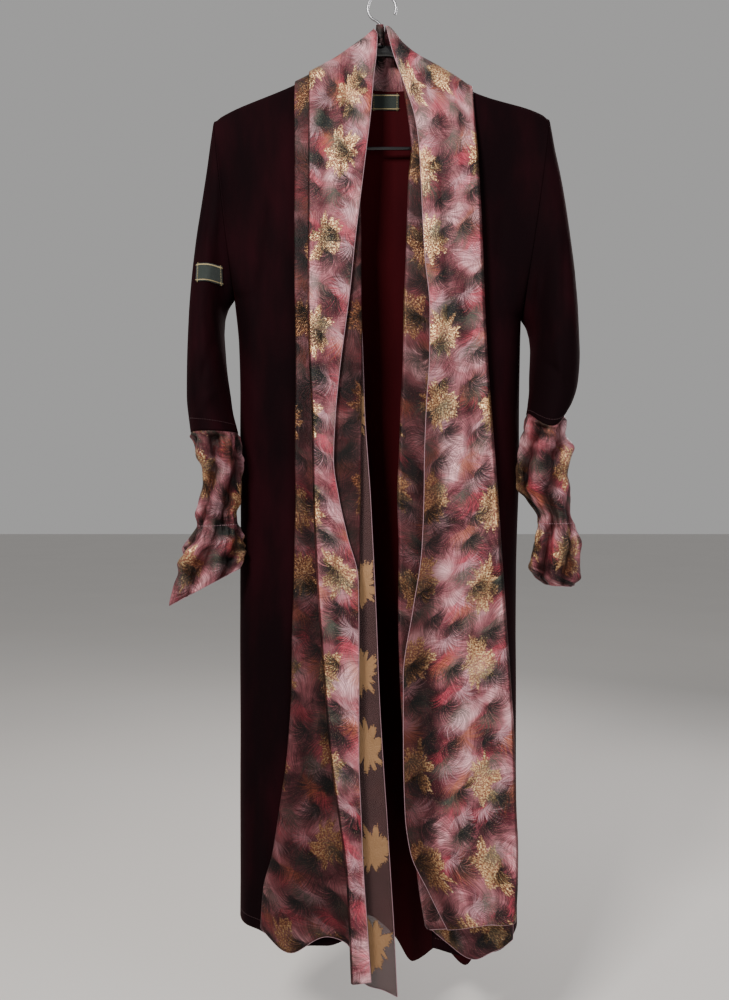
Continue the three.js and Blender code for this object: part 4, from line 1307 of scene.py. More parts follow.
@dataclass(frozen=True)
class Steel:
    """Brushed steel of the hook."""

    colour: Colour = tint(178, 180, 184)
    dull: Colour = tint(132, 132, 136)

    def material(self) -> Material:
        """The steel's material.

        Returns:
            The material, brushed along the wire.
        """
        material, graph, shader = start_material("hook_steel_brushed")
        place = graph.put("TexCoord", {}, "Object")
        brushed = graph.noise(graph.stretched(place, (160.0, 900.0, 160.0)), 1.0, 4.0)
        rough = graph.put("MapRange", {"Value": brushed, "To Min": 0.2, "To Max": 0.45})
        graph.fill(shader, {"Base Color": graph.blend(brushed, self.dull, self.colour), "Roughness": rough})
        graph.fill(shader, {"Metallic": 1.0})
        return material


@dataclass(frozen=True)
class Pale:
    """Plain pale finish of the floor."""

    colour: Colour = tint(206, 203, 200)

    def material(self) -> Material:
        """The floor's material.

        Returns:
            The material, with a faint unevenness.
        """
        material, graph, shader = start_material("pale_floor")
        place = graph.put("TexCoord", {}, "Object")
        soft = graph.noise(place, 1.5, 2.0)
        graph.fill(shader, {"Base Color": graph.blend(soft, self.colour, tint(212, 209, 206))})
        graph.fill(shader, {"Roughness": 0.9})
        return material


def new_growth(name: str, inputs: dict) -> tuple[Graph, dict, Node]:
    """Starts a tree that grows geometry along a line.

    Args:
        name: Name of the tree.
        inputs: Kinds of its inputs by name, after the line itself.

    Returns:
        A graph on the tree, its inputs by name, and the node that the result goes to.
    """
    kinds = {"Line": "Geometry", **inputs, "Material": "Material"}
    return new_group(name, kinds, {"Geometry": "Geometry"}, "GeometryNodeTree")


def finish_growth(graph: Graph, geometry: object, material: object, end: Node) -> object:
    """Makes the grown geometry real, smooth and dressed.

    Args:
        graph: Graph on the tree.
        geometry: What has grown.
        material: Its finish.
        end: Node that the result goes to.

    Returns:
        The tree.
    """
    real = graph.put("GeometryNodeRealizeInstances", {0: geometry})
    smooth = graph.put("GeometryNodeSetShadeSmooth", {"Geometry": real})
    dressed = graph.put("GeometryNodeSetMaterial", {"Geometry": smooth, "Material": material})
    graph.tree.links.new(dressed, end.inputs[0])
    return graph.tree


def stitch_tree() -> NodeTree:
    """Tree that lays stitches along a line, each a little unlike the next.

    Returns:
        The tree.
    """
    sizes = {"Pitch": "Float", "Length": "Float", "Radius": "Float", "Seed": "Int"}
    graph, given, end = new_growth("stitches_along", sizes)
    curve = graph.put("GeometryNodeMeshToCurve", {0: given["Line"]})
    even = graph.put(
        "GeometryNodeResampleCurve", {"Curve": curve, "Length": given["Pitch"]}, mode="LENGTH"
    )
    stitch = graph.put(
        "GeometryNodeMeshCylinder",
        {"Vertices": 6, "Radius": given["Radius"], "Depth": given["Length"]},
        "Mesh",
    )
    tangent = graph.put("GeometryNodeInputTangent", {})
    turn = graph.put("FunctionNodeAlignRotationToVector", {"Vector": tangent}, axis="Z")
    low, high = (0.85, 0.85, 0.82), (1.2, 1.2, 1.08)
    sizes_of = graph.put(
        "FunctionNodeRandomValue",
        {0: low, 1: high, "Seed": given["Seed"]},
        0,
        data_type="FLOAT_VECTOR",
    )
    laid = graph.put(
        "GeometryNodeInstanceOnPoints",
        {"Points": even, "Instance": stitch, "Rotation": turn, "Scale": sizes_of},
    )
    return finish_growth(graph, laid, given["Material"], end)


def rod_tree() -> NodeTree:
    """Tree that runs a rod or rolled edge along a line, thicker and thinner by a share.

    Returns:
        The tree.
    """
    sizes = {"Pitch": "Float", "Radius": "Float", "Sides": "Int", "Uneven": "Float", "Seed": "Int"}
    graph, given, end = new_growth("rod_along", sizes)
    curve = graph.put("GeometryNodeMeshToCurve", {0: given["Line"]})
    even = graph.put(
        "GeometryNodeResampleCurve", {"Curve": curve, "Length": given["Pitch"]}, mode="LENGTH"
    )
    low = graph.math("SUBTRACT", 1.0, given["Uneven"])
    high = graph.math("ADD", 1.0, given["Uneven"])
    share = graph.put("FunctionNodeRandomValue", {2: low, 3: high, "Seed": given["Seed"]}, 1)
    thick = graph.put("GeometryNodeSetCurveRadius", {"Curve": even, "Radius": share})
    circle = graph.put(
        "GeometryNodeCurvePrimitiveCircle", {"Resolution": given["Sides"], "Radius": given["Radius"]}
    )
    rod = graph.put(
        "GeometryNodeCurveToMesh", {"Curve": thick, "Profile Curve": circle, "Fill Caps": True}
    )
    return finish_growth(graph, rod, given["Material"], end)


@dataclass
class Sewing:
    """Grows stitches, rolled edges and rods along lines.

    Attributes:
        stitches: Tree of stitches.
        rods: Tree of rods and edges.
        pitch: From one stitch to the next, in metres.
        length: Length of a stitch.
        radius: Half thickness of a stitch.
    """

    stitches: NodeTree = field(default_factory=stitch_tree)
    rods: NodeTree = field(default_factory=rod_tree)
    pitch: float = 0.0034
    length: float = 0.0024
    radius: float = 0.00034
    count: int = 0

    def grow(self, name: str, line: np.ndarray, tree: NodeTree, values: dict) -> Object:
        """Grows a tree along a line and keeps the result as a plain mesh.

        Args:
            name: Name of the piece.
            line: Points of the line, in metres.
            tree: The tree to grow.
            values: Values of its inputs by name.

        Returns:
            The piece.
        """
        self.count += 1
        start = bpy.data.meshes.new(name + "_line")
        edges = [(k, k + 1) for k in range(len(line) - 1)]
        start.from_pydata(line.tolist(), edges, [])
        piece = bpy.data.objects.new(name, start)
        bpy.context.scene.collection.objects.link(piece)
        modifier = piece.modifiers.new("grow", "NODES")
        modifier.node_group = tree
        given = {**values, "Seed": self.count}
        for item in tree.interface.items_tree:
            if item.in_out == "INPUT" and item.name in given:
                modifier[item.identifier] = given[item.name]
        graph = bpy.context.evaluated_depsgraph_get()
        grown = bpy.data.meshes.new_from_object(piece.evaluated_get(graph))
        piece.modifiers.remove(modifier)
        piece.data = grown
        bpy.data.meshes.remove(start)
        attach(piece, "root")
        LOG.info("%s: %d faces", name, len(grown.polygons))
        return piece

    def row(self, name: str, line: np.ndarray, material: Material) -> Object:
        """A row of stitches along points of the garment."""
        sizes = {"Pitch": self.pitch, "Length": self.length, "Radius": self.radius}
        return self.grow(name, placed(line), self.stitches, {**sizes, "Material": material})

    def edge(self, name: str, line: np.ndarray, material: Material) -> Object:
        """A rolled edge along points of the garment."""
        sizes = {"Pitch": 0.004, "Radius": 0.0006, "Sides": 6, "Uneven": 0.2}
        return self.grow(name, placed(line), self.rods, {**sizes, "Material": material})

    def rod(
        self, name: str, line: np.ndarray, radius: float, material: Material
    ) -> Object:
        """A smooth rod along points in metres."""
        sizes = {"Pitch": 0.0022, "Radius": radius, "Sides": 16, "Uneven": 0.0}
        return self.grow(name, line, self.rods, {**sizes, "Material": material})


def armhole_turn(hole: Armhole, z: np.ndarray) -> np.ndarray:
    """How far round its ring an armhole lies at a height."""
    share = np.clip((hole.tip_z - z) / (hole.tip_z - hole.under_z), 0, 1)
    return np.arccos(1 - 2 * share)


def ring_normals(rings: np.ndarray, turns: np.ndarray, side: float) -> np.ndarray:
    """Outward directions in the plane of rings.

    Args:
        rings: Rows of up x, up z, half height and half depth.
        turns: Places round the ring.
        side: -1 on the left, 1 on the right.

    Returns:
        Unit directions, a row for each ring.
    """
    up_x, up_z, half, deep = (rings[:, k, None] for k in range(4))
    rise = np.cos(turns) / half
    out = np.stack([up_x * rise, side * np.sin(turns) / deep + 0 * rise, up_z * rise], axis=-1)
    return out / np.linalg.norm(out, axis=-1, keepdims=True)


def side_x(seam: str, z: np.ndarray) -> np.ndarray:
    """Place of a side: the armhole, then the side seam.

    Args:
        seam: left or right.
        z: Heights.

    Returns:
        The places across.
    """
    hole = ARMHOLES[seam]
    share = (hole.tip_z - z) / (hole.tip_z - hole.under_z)
    high = mix(hole.tip_x, hole.under_x, share)
    return np.where(z > hole.under_z, high, follow(SIDE_SEAMS[seam], "z", z, "x"))


def back_top(x: np.ndarray) -> np.ndarray:
    """Top of the back: the shoulder line, scooped between the neck points.

    Args:
        x: Places across.

    Returns:
        The heights.
    """
    middle = (NECK_LEFT + NECK_RIGHT) / 2
    off = np.clip((x - middle) / (NECK_RIGHT - middle), -1, 1)
    ends = shoulder_height(np.array([NECK_LEFT, NECK_RIGHT]))
    line = mix(ends[0], ends[1], (off + 1) / 2)
    scooped = line - NECK_SCOOP * (1 - off * off) ** NECK_ROUND
    return np.where(np.abs(off) >= 1, shoulder_height(x), scooped)


@dataclass
class VelvetBody:
    """The back and the two open fronts, and their sewn hems.

    Attributes:
        velvet: Finish of the panels.
        reverse: Finish of their inner side.
        thread: Finish of the stitches.
        sewing: Grows the stitches.
    """

    velvet: Material
    reverse: Material
    thread: Material
    sewing: Sewing
    roll_rows: int = 7
    armhole_rows: int = 64
    skirt_rows: int = 190
    inset_columns: int = 13
    seam_reach: float = 48.0
    seam_blend: float = 14.0
    hem_allowance: float = 12.0
    panels: dict = field(default_factory=dict)

    def heights(self, top: np.ndarray, under: np.ndarray, hem: np.ndarray) -> np.ndarray:
        """Heights of all rows for each column.

        Args:
            top: Height of the top.
            under: Height of the underarm.
            hem: Height of the hem.

        Returns:
            The heights, from the top down.
        """
        turns = np.linspace(0, np.pi / 2, self.roll_rows)[:, None]
        rolled = top - SHOULDER_ROLL * (1 - np.cos(turns))
        shares = np.linspace(0, 1, self.armhole_rows + 1)[1:, None]
        armhole = mix(top - SHOULDER_ROLL, under, shares)
        shares = np.linspace(0, 1, self.skirt_rows + 1)[1:, None]
        skirt = mix(under, hem, shares)
        return np.concatenate([rolled, armhole, skirt])

    def half(
        self, face: Face, seam: str, end: Line, top: Line, hem: Sequence[Spot], columns: int
    ) -> Cloth:
        """Grid of points from a side seam inwards.

        Args:
            face: Front or back.
            seam: Side that it starts from.
            end: Function of height that gives its inner edge.
            top: Function of x that gives its top.
            hem: Table of its hem.
            columns: Columns past those by the seam.

        Returns:
            Points and directions as a cloth.
        """
        hole = ARMHOLES[seam]
        insets = self.seam_reach * np.linspace(0, 1, self.inset_columns) ** 1.4
        inset = np.concatenate([insets, np.full(columns, self.seam_reach)])
        share = np.concatenate([np.zeros(self.inset_columns), np.linspace(0, 1, columns + 1)[1:]])
        beside = 1 - ease(0, self.seam_blend, inset)
        x = hole.tip_x - hole.side * inset
        side_hem = follow(hem, "x", np.array([hole.side * 1000.0]), "z")
        at_side = self.heights(np.array([hole.tip_z]), np.array([hole.under_z]), side_hem)
        z = self.levels(x, top, hem) * (1 - beside) + at_side * beside
        for _ in range(5):
            x = mix(side_x(seam, z) - hole.side * inset, end(z), share)
            z = self.levels(x, top, hem, True) * (1 - beside) + at_side * beside
        off = np.abs(x - side_x(seam, z))
        turned = np.where(off < SIDE_ROLL, np.sqrt(np.clip(1 - (1 - off / SIDE_ROLL) ** 2, 0, 1)), 1)
        depth = np.where(z > hole.under_z, hole.half_depth * np.sin(armhole_turn(hole, z)), 0)
        points = drape(face, x, z, 0.0, turned, depth)
        return Cloth(points, VELVET_WALL, normals=np.zeros_like(points), uv=np.zeros((1, 1, 2)))

    def levels(
        self, x: np.ndarray, top: Line, hem: Sequence[Spot], grown: bool = False
    ) -> np.ndarray:
        """Heights of the rows at places across.

        Args:
            x: Places across.
            top: Function of x that gives the top.
            hem: Table of the hem.
            grown: True if the places differ from row to row.

        Returns:
            The heights.
        """
        left, right = ARMHOLES["left"], ARMHOLES["right"]
        share = np.clip((x - left.under_x) / (right.under_x - left.under_x), 0, 1)
        under = mix(left.under_z, right.under_z, share)
        ends = follow(hem, "x", x, "z")
        if not grown:
            return self.heights(top(x), under, ends)
        rows = np.arange(len(x))
        stacked = [self.heights(top(x[k]), under[k], ends[k])[k] for k in rows]
        return np.stack(stacked)

    def seam_normals(self, points: np.ndarray, column: int, seam: str, face: Face) -> np.ndarray:
        """Directions along a side, square to the armhole and then to the side seam.

        Args:
            points: Grid of the panel.
            column: Column at the side.
            seam: left or right.
            face: Front or back.

        Returns:
            Unit directions.
        """
        hole = ARMHOLES[seam]
        z = points[:, column, 2]
        up = np.array([hole.tip_x - hole.under_x, hole.tip_z - hole.under_z])
        long = float(np.hypot(*up))
        turns = armhole_turn(hole, z)
        ring = np.array([[up[0] / long, up[1] / long, long / 2, hole.half_depth]])
        out = ring_normals(ring, turns[None, :], face.sign)[0]
        below = z <= hole.under_z
        out[below] = [hole.side, 0, 0]
        return out

    def cloth(self, face: Face, points: np.ndarray, creases: Sequence[Crease], seams: dict) -> Cloth:
        """Finishes a panel: creases, directions square to its seams and to the shoulder.

        Args:
            face: Front or back.
            points: Grid of points, columns to the right as seen from outside.
            creases: Its creases.
            seams: Side by column number.

        Returns:
            The panel as a cloth.
        """
        normals = grid_normals(points, False)
        relief = crease_relief(creases, points[..., 0], points[..., 2])
        relief += 0.7 * wobble(points[..., 0] / 90, points[..., 2] / 300, 1.0 + face.sign)
        inside = ease(0, 30, np.minimum(points[..., 0] + 232, 230 - points[..., 0]))
        low = ease(0, 60, shoulder_height(points[..., 0]) - points[..., 2])
        points = points + normals * (relief * inside * low)[..., None]
        normals = grid_normals(points, False)
        along = np.gradient(points[0], axis=0)
        along *= np.sign(along[:, :1])
        up = np.stack([-along[:, 2], 0 * along[:, 0], along[:, 0]], axis=-1)
        up /= np.linalg.norm(up, axis=-1, keepdims=True)
        on_line = np.abs(points[0, :, 1]) < 1
        normals[0, on_line] = up[on_line]
        for column, seam in seams.items():
            normals[:, column] = self.seam_normals(points, column, seam, face)
        return Cloth(points, VELVET_WALL, normals=normals)

    def build(self) -> None:
        """Builds the three panels and the stitches above their hems."""
        ends = {
            name: lambda z, name=name: follow(FRONT_EDGES, "z", z, name) for name in ("left", "right")
        }
        left = self.half(Face.FRONT, "left", ends["left"], shoulder_height, HEM_LEFT, 34)
        right = self.half(Face.FRONT, "right", ends["right"], shoulder_height, HEM_RIGHT, 30)
        middle = (NECK_LEFT + NECK_RIGHT) / 2
        one = self.half(Face.BACK, "right", lambda z: 0 * z + middle, back_top, HEM_BACK, 46)
        two = self.half(Face.BACK, "left", lambda z: 0 * z + middle, back_top, HEM_BACK, 46)
        whole = np.concatenate([one.points, two.points[:, -2::-1]], axis=1)
        self.panel("front_left_velvet", "velvet_front_left", Face.FRONT, left.points, {0: "left"})
        turned = right.points[:, ::-1]
        self.panel("front_right_velvet", "velvet_front_right", Face.FRONT, turned, {-1: "right"})
        self.panel("back_velvet", "velvet_back", Face.BACK, whole, {0: "right", -1: "left"})

    def panel(self, name: str, node: str, face: Face, points: np.ndarray, seams: dict) -> None:
        """Builds one panel and its hem stitches.

        Args:
            name: Name of the piece.
            node: Solid that it stands for.
            face: Front or back.
            points: Its grid of points.
            seams: Side by column number.
        """
        creases = FRONT_CREASES if face is Face.FRONT else BACK_CREASES
        cloth = self.cloth(face, points, creases, seams)
        piece = linked(name, cloth.mesh(name), self.velvet, self.reverse)
        step = abs(cloth.points[-1, 0, 2] - cloth.points[-2, 0, 2])
        row = -1 - int(round(self.hem_allowance / step))
        hem = cloth.line(row, VELVET_WALL / 2)[2:-2]
        sewn = self.sewing.row(name + "_hem_stitches", hem, self.thread)
        declare(node)
        self.panels[name] = cloth


def declare(
    node: str,
) -> None:
    """Hides the solid that a cloth stands for.

    Args:
        node: Solid that it stands for.
    """
    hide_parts(node)


def ring_table(rows: Sequence[Ring], places: np.ndarray) -> dict:
    """Reads a table of rings at places along its rows.

    Args:
        rows: The table.
        places: Places, counted in rows.

    Returns:
        The values by column name.
    """
    index = np.arange(len(rows), dtype=float)
    read = {}
    for name in Ring._fields:
        values = np.array([getattr(row, name) for row in rows], float)
        read[name] = smooth_line(index, values, places)
    return read


def tube(
    side: float, rows: Sequence[Ring], places: np.ndarray, turns: np.ndarray, ripple: np.ndarray,
    dip: np.ndarray, thickness: float,
) -> Cloth:
    """A sleeve or cuff as a tube through rings.

    Args:
        side: -1 on the left, 1 on the right.
        rows: Table of rings.
        places: Places along the table, one for each row of the tube.
        turns: Places round the tube.
        ripple: Share that each point is wider by.
        dip: How far the front hangs lower, for each row.
        thickness: Wall of the cloth.

    Returns:
        The tube as a cloth.
    """
    read = ring_table(rows, places)
    up = np.stack([read["out_x"] - read["in_x"], read["out_z"] - read["in_z"]], axis=-1)
    long = np.linalg.norm(up, axis=-1)
    up = up / long[:, None]
    half = long[:, None] / 2
    reach = half * np.cos(turns) * (1 + ripple)
    x = (read["out_x"] + read["in_x"])[:, None] / 2 + up[:, :1] * reach
    z = (read["out_z"] + read["in_z"])[:, None] / 2 + up[:, 1:] * reach
    around = side * np.sin(turns)
    y = -read["forward"][:, None] + read["half_depth"][:, None] * around * (1 + ripple)
    z = z - dip[:, None] * np.maximum(0, -around) ** 2
    points = np.stack([x, y, z], axis=-1)
    rings = np.stack([up[:, 0], up[:, 1], long / 2, read["half_depth"]], axis=-1)
    square = ring_normals(rings, np.broadcast_to(turns, x.shape), side)
    normals = grid_normals(points, True)
    normals[0], normals[-1] = square[0], square[-1]
    return Cloth(points, thickness, ring=True, normals=normals)


@dataclass
class Sleeve:
    """A velvet sleeve that hangs from the armhole to the middle of the forearm."""

    name: str
    velvet: Material
    thread: Material
    sewing: Sewing
    rows: int = 124
    columns: int = 112
    cap_rows: int = 40
    cloth: Optional[Cloth] = None

    def build(self) -> None:
        """Builds the sleeve, its creases and the stitches above its hem."""
        hole = ARMHOLES[self.name]
        away = hole.side * SEAM_GAP
        top = Ring(
            hole.tip_x + away, hole.tip_z, hole.under_x + away, hole.under_z,
            hole.half_depth - SEAM_LAP, 0,
        )
        rings = [top, *SLEEVES[self.name]]
        last = len(rings) - 1
        places = np.linspace(0, last, self.rows)
        turns = 2 * np.pi * np.arange(self.columns) / self.columns
        dip = HEM_DIP[self.name] * np.clip((places - last + DIP_ROWS) / DIP_ROWS, 0, 1)
        slack = 0.012 * wobble(turns[None, :] / 2, places[:, None] / 3, hole.side)
        slack = slack * ease(0, 1, places)[:, None] * ease(0, 0.6, last - places)[:, None]
        cloth = tube(hole.side, rings, places, turns, slack, dip, VELVET_WALL)
        creases = SLEEVE_CREASES[self.name]
        x, z = cloth.points[..., 0], cloth.points[..., 2]
        front = np.clip(-cloth.normals[..., 1], 0, 1) * crease_relief(creases, x, z)
        rear = np.clip(cloth.normals[..., 1], 0, 1) * crease_relief(creases, x, z + 26)
        ends = (ease(0, 0.5, places) * ease(0, 0.5, last - places))[:, None]
        moved = cloth.points + cloth.normals * ((front + rear) * ends)[..., None]
        normals = grid_normals(moved, True)
        normals[0], normals[-1] = cloth.normals[0], cloth.normals[-1]
        self.cloth = Cloth(moved, VELVET_WALL, ring=True, normals=normals, cap=self.cap_rows)
        name = f"sleeve_{self.name}_velvet"
        piece = linked(name, self.cloth.mesh(name), self.velvet)
        sewn = self.sewing.row(name + "_hem_stitches", self.cloth.line(-6, VELVET_WALL / 2), self.thread)
        declare(f"sleeve_{self.name}")


@dataclass
class Cuff:
    """A ruched tube of printed chiffon, gathered near its end."""

    name: str
    chiffon: Material
    thread: Material
    sewing: Sewing
    gather_row: float
    rows: int = 150
    columns: int = 160
    lobes: int = 5
    lobe_height: float = 0.06
    lobe_turn: float = 0.9
    valley_depth: float = 0.15

    def ripple(self, places: np.ndarray, turns: np.ndarray) -> np.ndarray:
        """Ruching of the tube: broad lobes with sharp valleys, fine gathers and slanting puckers.

        Args:
            places: Places along the table of rings, in a column.
            turns: Places round the tube, in a row.

        Returns:
            Share that each point is wider by.
        """
        broad = self.lobe_height * np.cos(self.lobes * turns + self.lobe_turn * places)
        valleys = np.abs(np.cos((self.lobes * turns + self.lobe_turn * places) / 2))
        broad += self.valley_depth * (valleys - 2 / np.pi)
        near = np.exp(-(((places - self.gather_row) / 1.1) ** 2)) + np.exp(-((places / 1.2) ** 2))
        wander = 1.3 * np.sin(2 * turns + places) + 0.5 * places
        fine = (0.014 + 0.034 * near) * np.cos(19 * turns + wander)
        fine += (0.005 + 0.016 * near) * np.cos(31 * turns - 1.3 * wander)
        slant = 2.6 * places + 2 * turns + 1.5 * np.sin(2 * turns + 0.6 * places)
        pucker = (0.062 - 0.02 * near) * np.sin(slant) * (1 + 0.5 * np.cos(turns))
        small = 0.022 * np.sin(5.3 * places - 3 * turns + 2 * np.sin(3 * turns))
        return (broad + fine + pucker + small) * ease(0, 0.8, places)

    def build(self) -> None:
        """Builds the cuff, its rolled mouth and the gathering thread."""
        hole = ARMHOLES[self.name]
        hem = SLEEVES[self.name][-1]
        top = hem._replace(out_z=hem.out_z - SEAM_GAP, in_z=hem.in_z - SEAM_GAP)
        rings = [top, *CUFFS[self.name]]
        last = len(rings) - 1
        places = np.linspace(0, last, self.rows)
        turns = 2 * np.pi * np.arange(self.columns) / self.columns
        dip = HEM_DIP[self.name] * np.clip(1 - places / DIP_ROWS, 0, 1)
        ripple = self.ripple(places[:, None], turns[None, :])
        cloth = tube(hole.side, rings, places, turns, ripple, dip, CHIFFON_WALL)
        # painted shade: darker in the troughs of the ruching, lighter on its lobes
        cloth.painted_shade = np.clip(0.4 + 3.4 * ripple, 0.05, 0.8)
        name = f"cuff_{self.name}_chiffon"
        piece = linked(name, cloth.mesh(name), self.chiffon)
        mouth = self.sewing.edge(name + "_rolled_edge", cloth.line(-1, 0.0), self.thread)
        row = int(round(self.gather_row / last * (self.rows - 1)))
        gather = self.sewing.row(name + "_gathering_thread", cloth.line(row, CHIFFON_WALL / 2), self.thread)
        declare(
            f"cuff_{self.name}"
        )


@dataclass
class Stole:
    """The stretch of the stole that hangs folded to and fro down one front.

    Attributes:
        name: left or right.
        table: Where each fold and free edge lies, row by row.
        path: Columns of the table in the order that the cloth runs through them, back to front.
        lifts: Distance of each layer outside the velvet.
        counts: Columns of points in each layer.
        middle: Place whose shoulder height the rows follow.
        hem_start: Height where the rows begin to fan out to the hem.
        hems: Height of the hem at each fold and edge.
        creases: Creases of the two foremost layers.
        painted_layer_shades: Painted shade of each layer, darker where less cloth lies behind it.
        under_hems: Lines of the hem by layer, where it isn't straight.
        print_start: Shift of the print along the cloth.
        margin: Shares of the foremost layer where the cloth behind it comes to an end and its painted shade
            darkens.
        sheer_from: Where a single layer begins to be seen through, and where it is all so.
    """

    name: str
    table: Sequence
    path: Sequence[str]
    lifts: Sequence[float]
    counts: Sequence[int]
    middle: float
    hem_start: float
    hems: dict
    creases: Sequence[Crease]
    chiffon: Material
    thread: Material
    sewing: Sewing
    painted_layer_shades: Sequence[float]
    under_hems: dict
    print_start: float = 0.0
    margin: tuple[float, float] = (1.0, 1.1)
    sheer_from: Optional[tuple[float, float]] = None
    row_step: float = 4.4
    fold_steps: int = 8
    bend_drop: float = 14.0
    bend_rows: int = 9

    def levels(self) -> np.ndarray:
        """Heights of the rows, close together over the shoulder.

        Returns:
            Heights from the neck to the hem, in millimetres.
        """
        first, last = self.table[0].z, self.table[-1].z
        bend = first - self.bend_drop
        count = int((bend - last) / self.row_step)
        over = np.linspace(first, bend, self.bend_rows)[:-1]
        return np.concatenate([over, np.linspace(bend, last, count)])

    def lanes(self, z: np.ndarray) -> list[tuple]:
        """Columns of the folded cloth, from back to front.

        Args:
            z: Heights of the rows.

        Returns:
            Place, lift, layer and share of the layer for each column.
        """
        corners = [follow(self.table, "z", z, name) for name in self.path]
        spread = follow(self.table, "z", z, "spread")
        lifts = []
        for k, lift in enumerate(self.lifts):
            lifts.append(mix(SHOULDER_LIFT + SHOULDER_STEP * k, max(lift, SHOULDER_LIFT), spread))
        lanes = []
        for k, count in enumerate(self.counts):
            heading = np.sign((corners[k + 1] - corners[k])[-1])
            rise = (lifts[k + 1] - lifts[k]) / 2 if k < len(lifts) - 1 else 0 * lifts[k]
            entry = (lifts[k] - lifts[k - 1]) / 2 if k > 0 else 0 * lifts[k]
            start = corners[k] + heading * entry
            end = corners[k + 1] - heading * rise
            for j in range(count):
                share = j / (count - 1)
                lanes.append((mix(start, end, share), lifts[k], k, share))
            if k == len(self.counts) - 1:
                break
            for j in range(1, self.fold_steps):
                turn = np.pi * j / self.fold_steps
                place = end + heading * rise * np.sin(turn)
                lanes.append((place, lifts[k] + rise * (1 - np.cos(turn)), k, 1.0))
        return lanes

    def grid(self) -> Cloth:
        """The stretch as a cloth, with its creases and its own coordinates.

        Returns:
            The folded cloth.
        """
        z = self.levels()
        slant = follow(self.table, "z", z, "slant")
        spread = follow(self.table, "z", z, "spread")
        last = self.table[-1].z
        fall = np.clip((self.hem_start - z) / (self.hem_start - last), 0, None)
        corners = [follow(self.table, "z", z, name) for name in self.path]
        columns, painted_shade = [], []
        foremost = len(self.lifts) - 2
        for x, lift, layer, share in self.lanes(z):
            hem = mix(self.hems[self.path[layer]], self.hems[self.path[layer + 1]], share)
            if layer in self.under_hems:
                hem = float(follow(self.under_hems[layer], "x", x[-1:], "z")[0])
            lean = shoulder_height(x) - shoulder_height(np.array([self.middle]))
            height = z + slant * lean + fall * (hem - last)
            belly = spread * 1.1 * wobble(x / 55, z / 190, 2.0 + layer) * np.sin(np.pi * share)
            near = 1.0 if layer > foremost or share == 1.0 else 0.0
            dent = crease_relief(self.creases, x, height) * (1.0 if layer > foremost else 0.0)
            if layer == foremost:
                dent = dent * near + crease_relief(self.creases, x, height) * 0.5
            lifted = lift + belly + dent * ease(0, 0.3, spread)
            # painted shade of the layer, darker in troughs and lighter on ridges
            behind = self.painted_layer_shades[layer] * np.clip(1 + 0.13 * (belly + dent), 0.4, 1.15)
            # painted shade darkens the foremost layer towards its free edge, lower down
            if layer > foremost:
                low, high = self.margin
                behind = behind * (1 - 0.85 * ease(low, high, share) * ease(420, 640, -height))
            painted_shade.append(behind)
            columns.append(drape(Face.FRONT, x, height, lifted))
        points = np.stack(columns, axis=1)
        cloth = Cloth(points, CHIFFON_WALL)
        step = np.linalg.norm(np.diff(points, axis=1), axis=-1)
        run = np.concatenate([np.zeros((len(points), 1)), np.cumsum(step, axis=1)], axis=1)
        u = run - run[:, -1:] + self.print_start
        if self.sheer_from is not None:
            u[:, :self.counts[0]] = run[:, :self.counts[0]] + VEIL_PRINT_START
        cloth.uv = np.stack([u, points[..., 2] + self.print_start], axis=-1) * MM
        cloth.painted_shade = np.stack(painted_shade, axis=1)
        if self.sheer_from is not None:
            low, high = self.sheer_from
            veil = ease(low, high, points[..., 0])
            veil[:, self.counts[0]:] = 0
            cloth.sheer = veil
        LOG.info("stole %s: %d layers between %d edges and folds", self.name, len(self.lifts), len(corners))
        return cloth

    def build(self) -> None:
        """Builds the stretch and its rolled edges."""
        cloth = self.grid()
        name = f"stole_{self.name}_chiffon"
        piece = linked(name, cloth.mesh(name), self.chiffon)
        lines = {"back": cloth.column(0), "front": cloth.column(-1), "hem": cloth.line(-1, 0.0)}
        for key, line in lines.items():
            edge = self.sewing.edge(f"{name}_{key}_edge", line, self.thread)
        declare(f"stole_{self.name}")


